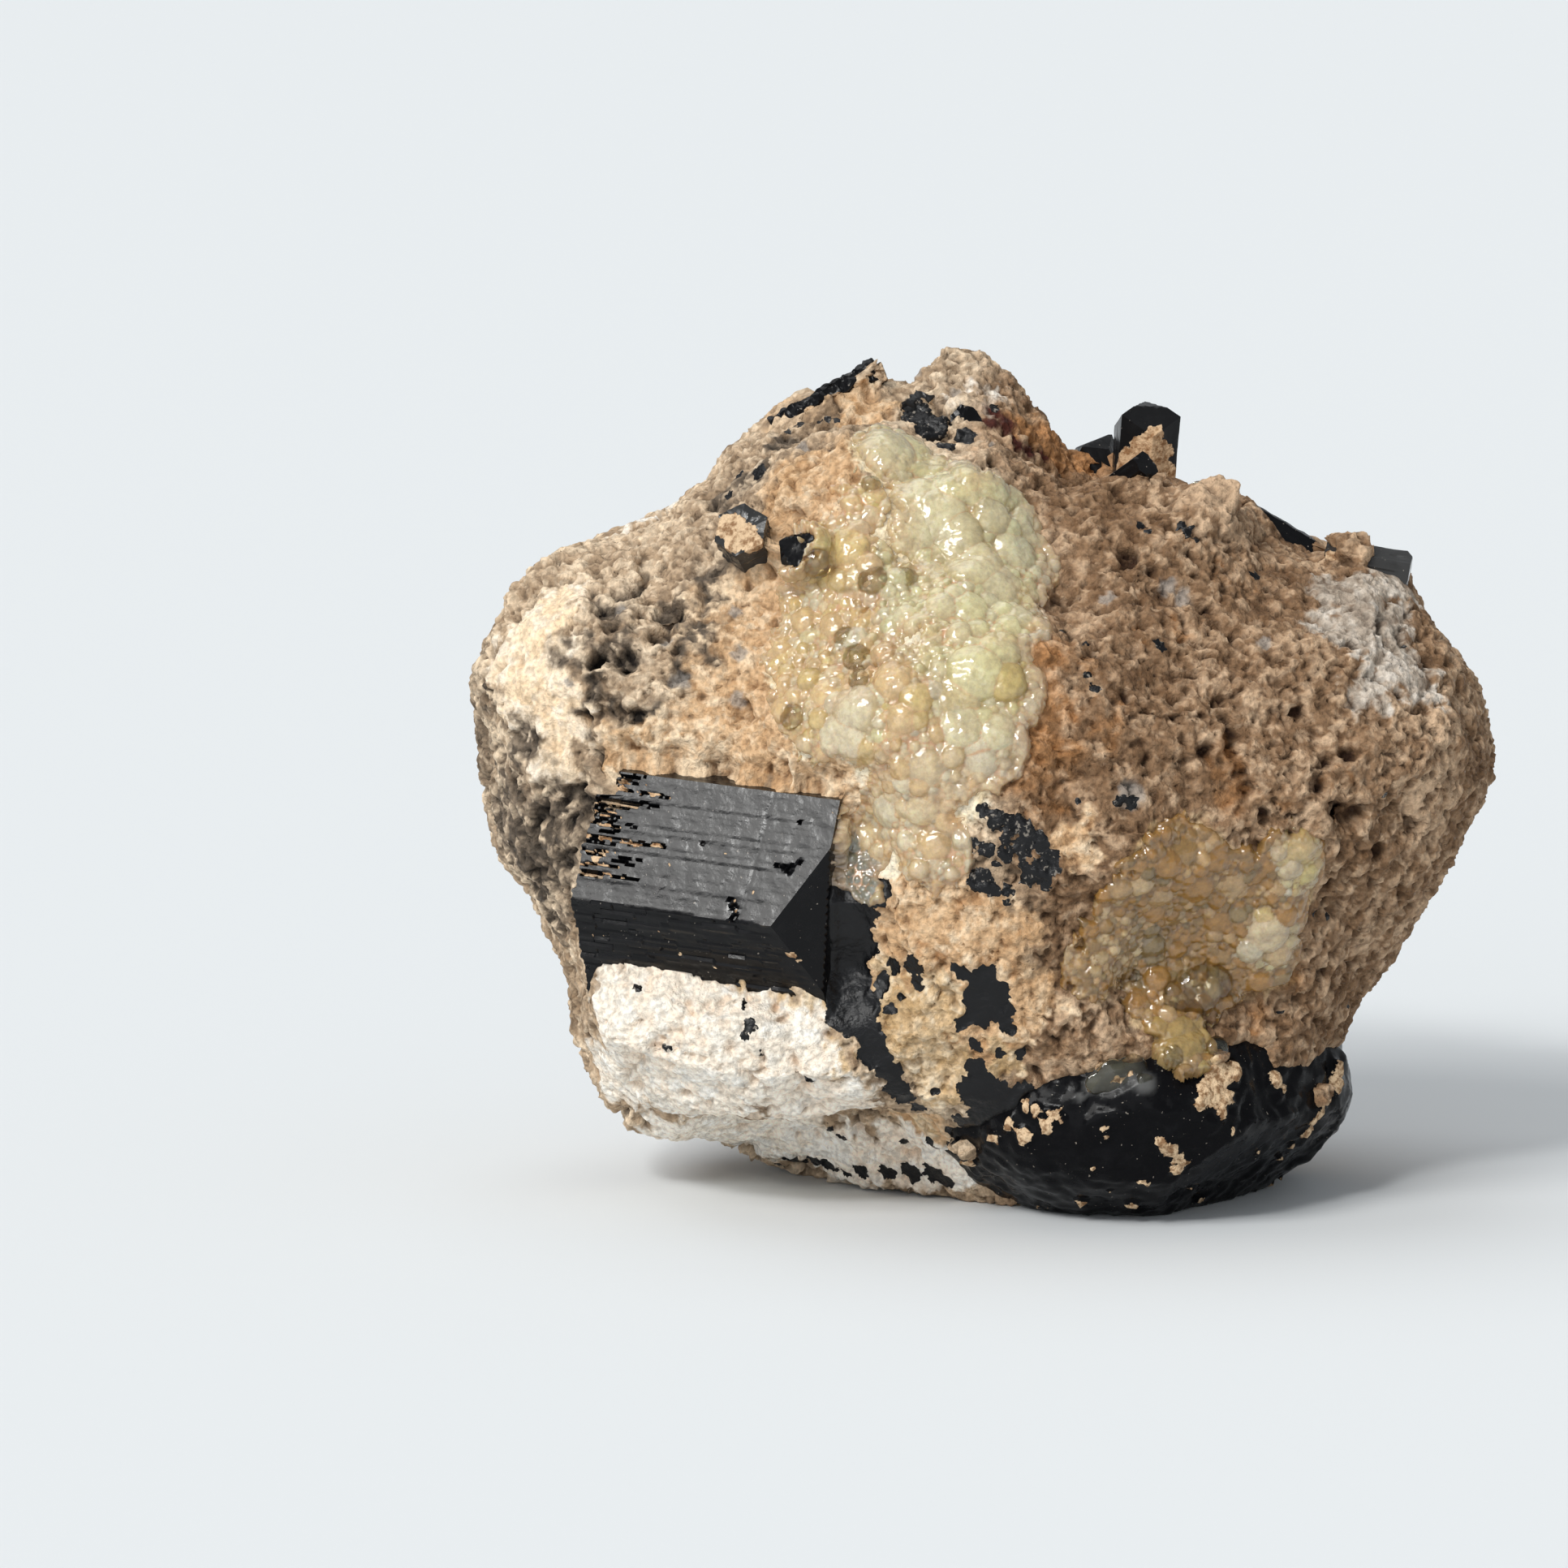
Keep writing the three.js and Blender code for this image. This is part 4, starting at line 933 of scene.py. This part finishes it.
# Where feldspar clings to the crystals and where the largest is nicked, as pixels of the photograph and radii.
COATED = {
    "standing_schorl": [
        (1410, 556, 1.0), (1395, 585, 1.4), (1418, 572, 1.3), (1434, 588, 1.1), (1388, 566, 0.7), (1424, 536, 0.7),
        (1385, 595, 1.0), (1440, 602, 1.0), (1410, 600, 1.4), (1434, 556, 0.7),
    ],
    "left_end_schorl": [(900, 648, 0.9), (915, 660, 0.9), (890, 632, 0.5), (930, 672, 0.6), (905, 670, 0.6)],
    "right_end_schorl": [(1640, 690, 0.5), (1655, 668, 0.4), (1700, 668, 0.3)],
    "right_ridge_schorl": [(1565, 668, 0.5), (1540, 645, 0.3)],
    "crest_schorl": [(1372, 575, 0.35)],
    "ridge_schorl": [(1000, 510, 0.5), (1040, 490, 0.3), (975, 525, 0.3)],
    "main_schorl": [
        (735, 1058, 0.28), (742, 1052, 0.25), (728, 1066, 0.22), (738, 1072, 0.12), (895, 1053, 0.1), (825, 1068, 0.1),
        (928, 1100, 0.12), (975, 1178, 0.26), (983, 1186, 0.18), (908, 1110, 0.14), (906, 1122, 0.16),
        (903, 1134, 0.12), (768, 1010, 0.08), (790, 1080, 0.08), (812, 1150, 0.08), (730, 1150, 0.12), (745, 1152, 0.1),
        (780, 1160, 0.1), (836, 1176, 0.12), (880, 1190, 0.1),
    ],
    "peak_left_schorl": [(1150, 500, 0.4), (1125, 525, 0.5), (1160, 535, 0.3), (1112, 510, 0.3)],
    "peak_right_schorl": [(1185, 535, 0.3)],
}
NICKS = [
    (958, 1066, 0.14), (966, 1067, 0.18), (975, 1069, 0.2), (984, 1063, 0.14), (972, 1074, 0.14), (900, 1108, 0.16),
    (904, 1118, 0.22), (905, 1130, 0.2), (866, 1040, 0.1), (985, 1012, 0.1),
]
NICK_DEPTH = 0.3
# How dusty-grey and how worn some crystals are.
GREYED = {"right_end_schorl": 0.3, "standing_schorl": 0.05, "left_end_schorl": 0.3, "peak_left_schorl": 0.15}
WORN = {"peak_left_schorl": 0.28, "peak_right_schorl": 0.2, "left_end_schorl": 0.12, "ridge_schorl": 0.26,
        "right_ridge_schorl": 0.06, "beaded_schorl": 0.06}

RIB_DEPTH = 0.04  # as a share of the width of a crystal's faces
FINEST_PITCH = 0.09
SHARP_FROM = 22  # edges that turn by more degrees than this stay sharp

crystal_finish = schorl_finish("schorl", 0.17)
for number, (name, crystals) in enumerate(CRYSTALS.items()):
    solids, fills = [], []
    for at, axis, facing, side, front, back, point in crystals:
        rib = RIB_DEPTH * side
        shape = (max(FINEST_PITCH, side / 16), plain_ribs(number, rib), plain_end(number, rib * 3))
        if name == "main_schorl":
            shape = (MAIN_PITCH, main_ribs, short_of_end, MAIN_HIDDEN_FACES)
        own_points, own_faces, own_fills = crystal_mesh(at, axis, facing, side, front, back, point, *shape)
        solids.append((own_points, own_faces))
        fills += own_fills.tolist()
    points, faces = joined(solids)
    points = np.array(points)
    crystal_warp = wander(points, 0.8, 21)
    own_tree = BVHTree.FromPolygons(points.tolist(), faces)
    coated = patch(points + crystal_warp * 0.25, COATED.get(name, []), 0.3, own_tree)
    if name == "main_schorl":
        inward = np.array(Vector(facing).normalized())
        nicked = patch(points + crystal_warp * 0.12, NICKS, 0.3, own_tree)
        points = points - inward * (nicked * NICK_DEPTH)[:, None]
    points = points + WORN.get(name, 0.012) * crystal_warp
    rusty = 0.3 * coated if name == "standing_schorl" else np.maximum(coated * 0.1, np.array(fills) * 0.35)
    crystal_masks = {
        "coat": np.maximum(coated, fills), "coat_rust": rusty, "greyed": np.full(len(points), GREYED.get(name, 0.0)),
    }
    crystal_name = name.replace("schorl", "crystal")
    piece = piece_from(crystal_name, points, faces, crystal_finish, SHARP_FROM, crystal_masks)
    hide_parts(name)

# The hyalite crusts: glassy, milky yellow-green opal grown over the rock's front as low round beads fused into each
# other, with peach feldspar in the creases between them. The upper crust is pale and the lower one amber. Each is the
# rock's own skin, cut finer, raised bead by bead, and dipping under the rock at its edges.
CRUST_DIP = 0.8  # how far a crust dips where it ends
HIDDEN_DEPTH = 0.5  # what lies deeper under the rock is left away
LARGE_FROM = 0.9  # beads of this radius and more are flatter
FLATNESS = {"large": 0.38, "small": 0.55}  # a bead's height, as a share of its radius
TRIES = 14000  # places tried for a strewn bead
RIM_LEVEL = 0.45  # how much of its height a bead keeps at a crust's rim
GREEN = (1.0, 0.92, 0.55)
MILKY = (1.0, 0.88, 0.63)
PEACH = (0.99, 0.73, 0.4)
YELLOW = (0.98, 0.78, 0.33)
AMBER = (0.61, 0.33, 0.085)
OLIVE = (0.42, 0.3, 0.13)
SMOKE = (0.42, 0.42, 0.34)
# the painted dark rim of the clearer beads, standing for the shade that their refraction shows at their edges
REFRACTION_RIM_SHADE = (0.5, 0.42, 0.2)
CRUSTS = {
    "upper_hyalite": {
        "replaces": "upper_hyalite_crust", "small": 0.2, "large": 0.85, "crease": (0.92, 0.56, 0.31),
        "extent": [
            (1105, 555, 2.6), (1150, 600, 3.0), (1175, 660, 3.8), (1230, 640, 3.0), (1255, 690, 2.8), (1200, 740, 4.2),
            (1245, 760, 2.6), (1195, 840, 4.2), (1240, 850, 2.6), (1110, 860, 3.2), (1065, 895, 2.8), (1150, 930, 3.6),
            (1215, 920, 2.6), (1110, 1000, 3.0), (1150, 1050, 2.4), (1075, 1030, 2.0), (1058, 1075, 1.3),
            (1045, 1045, 1.0), (1070, 1100, 0.9), (1000, 850, 3.0), (1010, 745, 3.0), (1030, 670, 2.2), (985, 800, 2.4),
            (1010, 900, 2.0), (1060, 620, 1.8), (1110, 740, 2.6), (1070, 690, 1.8), (1075, 790, 2.0), (1030, 800, 2.2),
        ],
        "beads": [
            (1137, 640, 2.7), (1170, 665, 2.0), (1160, 612, 1.6), (1095, 556, 1.8), (1125, 556, 1.7), (1140, 575, 1.3),
            (1195, 585, 1.4), (1223, 596, 1.6), (1250, 610, 1.2), (1223, 637, 1.2), (1270, 650, 1.5), (1250, 680, 1.4),
            (1201, 698, 1.9), (1230, 720, 1.5), (1148, 704, 0.9), (1045, 675, 1.25), (1182, 781, 0.8), (1201, 830, 1.8),
            (1183, 858, 1.4), (1233, 800, 1.3), (1240, 840, 1.2), (1127, 768, 0.95), (1089, 806, 0.8), (1099, 838, 1.2),
            (1075, 858, 1.0), (1054, 873, 1.5), (1041, 911, 1.6), (1060, 925, 1.1), (1111, 886, 0.95), (1009, 886, 0.7),
            (1185, 895, 1.3), (1229, 902, 1.1), (1205, 920, 1.0), (1143, 946, 1.2), (1210, 937, 1.0), (958, 797, 0.8),
            (990, 765, 0.8), (1025, 771, 0.8), (997, 838, 0.8), (1016, 854, 0.9), (1090, 1000, 1.1), (1070, 1030, 0.9),
            (1135, 1000, 1.0), (1150, 1040, 1.1), (1160, 745, 1.0), (1195, 750, 1.1), (1130, 860, 1.0),
            (1258, 760, 1.0), (1262, 800, 0.9),
        ],
        # the colours of the beads: middle, half width and half height in pixels, and tints
        "tints": [
            (1058, 1075, 30, 42, (SMOKE,)), (1180, 690, 100, 160, (GREEN, GREEN, GREEN, MILKY)),
            (1205, 830, 65, 80, (GREEN, MILKY, YELLOW)), (1055, 885, 35, 35, (MILKY, MILKY, GREEN)),
            (1095, 556, 60, 40, (GREEN, GREEN, MILKY)), (1150, 990, 110, 100, (MILKY, PEACH)),
            (1080, 915, 70, 60, (YELLOW, PEACH, PEACH)), (1000, 760, 160, 400, (PEACH, PEACH, PEACH, YELLOW, MILKY)),
            (1240, 780, 90, 300, (PEACH, MILKY)),
        ],
    },
    "lower_hyalite": {
        "replaces": "lower_hyalite_crust", "small": 0.18, "large": 0.6, "crease": (0.46, 0.25, 0.09),
        "extent": [
            (1450, 1080, 3.6), (1500, 1110, 3.6), (1560, 1120, 3.0), (1420, 1160, 3.0), (1490, 1180, 3.6),
            (1560, 1180, 2.4), (1590, 1070, 2.4), (1440, 1235, 2.4), (1460, 1285, 2.0), (1380, 1160, 2.6),
            (1350, 1190, 2.0), (1390, 1110, 2.2),
        ],
        "beads": [
            (1455, 1283, 1.5), (1480, 1270, 1.2), (1430, 1272, 1.0), (1440, 1300, 0.9), (1562, 1150, 1.3),
            (1575, 1175, 1.0), (1585, 1130, 0.8), (1604, 1048, 1.1), (1612, 1075, 0.8), (1590, 1070, 0.8),
            (1420, 1165, 0.8), (1425, 1205, 0.8), (1460, 1050, 0.9), (1440, 1065, 0.9), (1500, 1060, 0.9),
            (1475, 1095, 1.1), (1520, 1090, 1.0), (1405, 1090, 0.8), (1430, 1105, 0.8), (1380, 1095, 0.8),
            (1500, 1135, 0.9), (1400, 1230, 0.7), (1553, 1215, 0.9), (1580, 1215, 1.0), (1540, 1170, 0.8),
        ],
        "tints": [
            (1600, 1060, 30, 45, (MILKY, PEACH, YELLOW)), (1565, 1160, 35, 35, (MILKY, PEACH, YELLOW)),
            (1370, 1180, 60, 60, (PEACH, AMBER, OLIVE)), (1455, 1290, 55, 32, (PEACH, AMBER, YELLOW)),
            (1480, 1130, 300, 300, (AMBER, AMBER, AMBER, AMBER, PEACH, OLIVE)),
        ],
    },
}


def shown_at(place):
    """The pixel of the photograph where a place shows."""
    side, up, behind = camera_turn.inverted() @ (Vector(place) - CAMERA_AT)
    return VIEW_SIDE / 2 - FOCAL_PIXELS * side / behind, VIEW_SIDE / 2 + FOCAL_PIXELS * up / behind


def finer(there):
    """The part of the rock's smooth skin that a mask takes in, each square cut in four: points, normals and faces."""
    used, faces = cut_out(rock_quads[there[rock_quads].min(axis=1)])
    data = mesh_of("finer", rock_points[used], faces)
    shape = bmesh.new()
    shape.from_mesh(data)
    bmesh.ops.subdivide_edges(shape, edges=shape.edges, cuts=1, use_grid_fill=True)
    shape.to_mesh(data)
    shape.free()
    quads = np.array([tuple(face.vertices) for face in data.polygons])
    normals = np.stack([evened(way, quads, 5) for way in numbers_of(data.vertex_normals, "vector").T], axis=1)
    return numbers_of(data.vertices, "co"), normals / np.linalg.norm(normals, axis=1)[:, None], quads


def strewn(points, there, beads, small, large):
    """Beads strewn over a crust round the ones already placed, fused into each other but none inside another."""
    for index in random.sample(range(len(points)), min(TRIES, len(points))):
        radius = small + (large - small) * random.random() ** 1.8
        apart = np.linalg.norm(beads[:, :3] - points[index], axis=1)
        if there[index] > 0.3 and (apart > 0.62 * (beads[:, 3] + radius)).all():
            beads = np.vstack([beads, [*points[index], radius]])
    return beads


def beaded(points, beads, levels):
    """How high the beads stand at each point, which bead is highest, how near that is to a crease between two beads
    or to the floor between them, and how far out the point is on its bead."""
    height, owner = np.zeros(len(points)), np.zeros(len(points), dtype=int)
    crease, outness = np.zeros(len(points)), np.zeros(len(points))
    flatness = np.where(beads[:, 3] >= LARGE_FROM, FLATNESS["large"], FLATNESS["small"])
    order = np.argsort(points[:, 0])
    for chunk in np.array_split(order, max(1, len(order) // 1500)):
        here = points[chunk]
        low, high = here[:, 0].min(), here[:, 0].max()
        close = np.flatnonzero((beads[:, 0] + beads[:, 3] > low - 1) & (beads[:, 0] - beads[:, 3] < high + 1))
        out = np.linalg.norm(here[:, None] - beads[close, :3][None], axis=2) / beads[close, 3][None]
        domes = np.sqrt(np.clip(1 - out ** 2, 0, 1)) - np.clip(out - 1, 0, 3)
        tops = levels[close][None] + domes * (beads[close, 3] * flatness[close])[None]
        two = np.argpartition(-tops, 1, axis=1)[:, :2]
        rows = np.arange(len(here))
        first, second = tops[rows, two[:, 0]], np.maximum(tops[rows, two[:, 1]], 0)
        height[chunk] = np.maximum(first, 0)
        owner[chunk] = close[two[:, 0]]
        crease[chunk] = 1 - ramp(first - second, 0.0, 0.05)
        outness[chunk] = np.clip(out[rows, two[:, 0]], 0, 1)
    return height, owner, crease, outness


hyalite_finish, hyalite_nodes, hyalite_shader = finish(
    "hyalite", roughness=0.06, IOR=1.46, Transmission_Weight=0.5, Coat_Weight=0.7, Coat_Roughness=0.03, Coat_IOR=1.6,
    Subsurface_Weight=0.4, Subsurface_Radius=(1.0, 0.75, 0.4), Subsurface_Scale=0.6 * MM,
)
opal_fine = level(hyalite_nodes, grain(hyalite_nodes, 0.55, 4.0, 0.7), 0.3, 0.7, 0.76, 1.12)
opal_colour = mixed(hyalite_nodes, 1.0, mask(hyalite_nodes, "tint", "Color"), opal_fine, "MULTIPLY")
hyalite_nodes.links.new(opal_colour, hyalite_shader.inputs["Base Color"])
bump(hyalite_nodes, hyalite_shader, 0.4, 0.14, grain(hyalite_nodes, 0.45, 3.0, 0.5))

random.seed(11)
for name, crust in CRUSTS.items():
    points, normals, quads = finer(patch(warped, crust["extent"], 0.4) > 0)
    crust_warp = wander(points, 0.9, 51)
    strayed = points + 0.5 * crust_warp
    there = ramp(patch(strayed, crust["extent"], 0.4) + 0.3 * crust_warp[:, 0], 0.25, 0.7)
    within = ramp(patch(strayed, crust["extent"], 0.9), 0.4, 0.95)
    placed = np.array([(*seen(u, v)[0], radius) for u, v, radius in crust["beads"]])
    beads = strewn(points, there, placed, crust["small"], crust["large"])
    levels = np.array([random.uniform(-0.1, 0.12) for _ in beads])
    height, owner, crease, outness = beaded(points + 0.09 * crust_warp, beads, levels)
    height *= RIM_LEVEL + (1 - RIM_LEVEL) * within
    height += 0.05 * spread_noise(points, 0.6, 3, 54) + 0.06 * crust_warp[:, 1] - CRUST_DIP * (1 - there)
    tints = []
    for place in beads[:, :3]:
        u, v = shown_at(place)
        own = [colours for at_u, at_v, half_width, half_height, colours in crust["tints"]
               if math.hypot((u - at_u) / half_width, (v - at_v) / half_height) <= 1]
        one, other = random.choices((own or [(PEACH, MILKY)])[0], k=2)
        tints.append((np.array(one) + np.array(other)) / 2 * random.uniform(0.9, 1.02))
    # painted shade: the clearer beads are darkened towards their rims, standing for refraction
    rim_shade_share = np.array([random.choice((0.1, 0.3, 0.6)) for _ in beads])
    tint = np.array(tints)[owner]
    tint = blended(tint, REFRACTION_RIM_SHADE * tint, rim_shade_share[owner] * outness ** 3)
    creased = crease * np.clip(0.55 + 0.9 * spread_noise(points, 1.6, 3, 55), 0.1, 0.95)
    tint = blended(tint, crust["crease"], np.maximum(creased, 0.5 * (1 - within)))
    used, faces = cut_out(quads[(height[quads] > -HIDDEN_DEPTH).any(axis=1)])
    surface = (points + normals * height[:, None])[used]
    piece = piece_from(name, surface, faces, hyalite_finish, masks={"tint": np.clip(tint, 0.02, 1)[used]})
    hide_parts(crust["replaces"])

# The clear beads: single drops of water-clear hyalite among the milky ones, on the rock, and on the schorl mass where
# a thin glassy film of it lies. Each is a low round drop that shows what lies under it.
BEAD_PITCH = 0.14
DROP_FLATNESS = 0.6
CLEAR_BEADS = [
    (1041, 785, 0.75), (1056, 810, 0.95), (1058, 838, 0.7), (976, 883, 0.85), (1007, 694, 0.95), (1481, 598, 0.6),
    (1075, 714, 0.95), (1116, 711, 0.75), (1073, 596, 0.65), (1478, 1221, 1.6), (1498, 1213, 1.2), (1452, 1228, 1.1),
    (1420, 1206, 0.5), (1398, 1202, 0.5), (1500, 1292, 0.8), (1447, 1302, 0.8),
]
BASE_CLEAR_BEADS = [(1372, 1326, 1.1), (1396, 1318, 1.0), (1350, 1335, 0.7), (1412, 1334, 0.6)]
FILM_FLATNESS = 0.3
MIDDLE = Vector((0, 0, 24))  # of the specimen
drop_shape = bmesh.new()
bmesh.ops.create_icosphere(drop_shape, subdivisions=4, radius=1)
unit_points = np.array([vert.co for vert in drop_shape.verts])
unit_faces = [tuple(vert.index for vert in face.verts) for face in drop_shape.faces]
drop_shape.free()


def drop(u, v, radius, flatness, tree):
    """A closed flattened ball, its middle on the surface where a pixel shows it."""
    place, normal = seen(u, v, tree)
    outward = np.array((normal + (place - MIDDLE).normalized() * 0.7).normalized())
    flattened = unit_points - np.outer(unit_points @ outward, outward) * (1 - flatness)
    return np.array(place) + flattened * radius, unit_faces


clear_finish, clear_nodes, clear_shader = finish(
    "clear_hyalite", (0.86, 0.83, 0.66), roughness=0.03, IOR=1.46, Transmission_Weight=1.0,
)
bump(clear_nodes, clear_shader, 0.25, 0.15, grain(clear_nodes, 0.7, 2.0))
drops = [drop(u, v, radius, DROP_FLATNESS, skin_tree) for u, v, radius in CLEAR_BEADS]
drops += [drop(u, v, radius, FILM_FLATNESS, base_tree) for u, v, radius in BASE_CLEAR_BEADS]
clear_points, _, clear_quads = skinned(drops, BEAD_PITCH, one_shell=False)
clear_points = np.stack([evened(row, clear_quads, 2) for row in clear_points.T], axis=1)
piece_from("clear_beads", clear_points, clear_quads.tolist(), clear_finish)
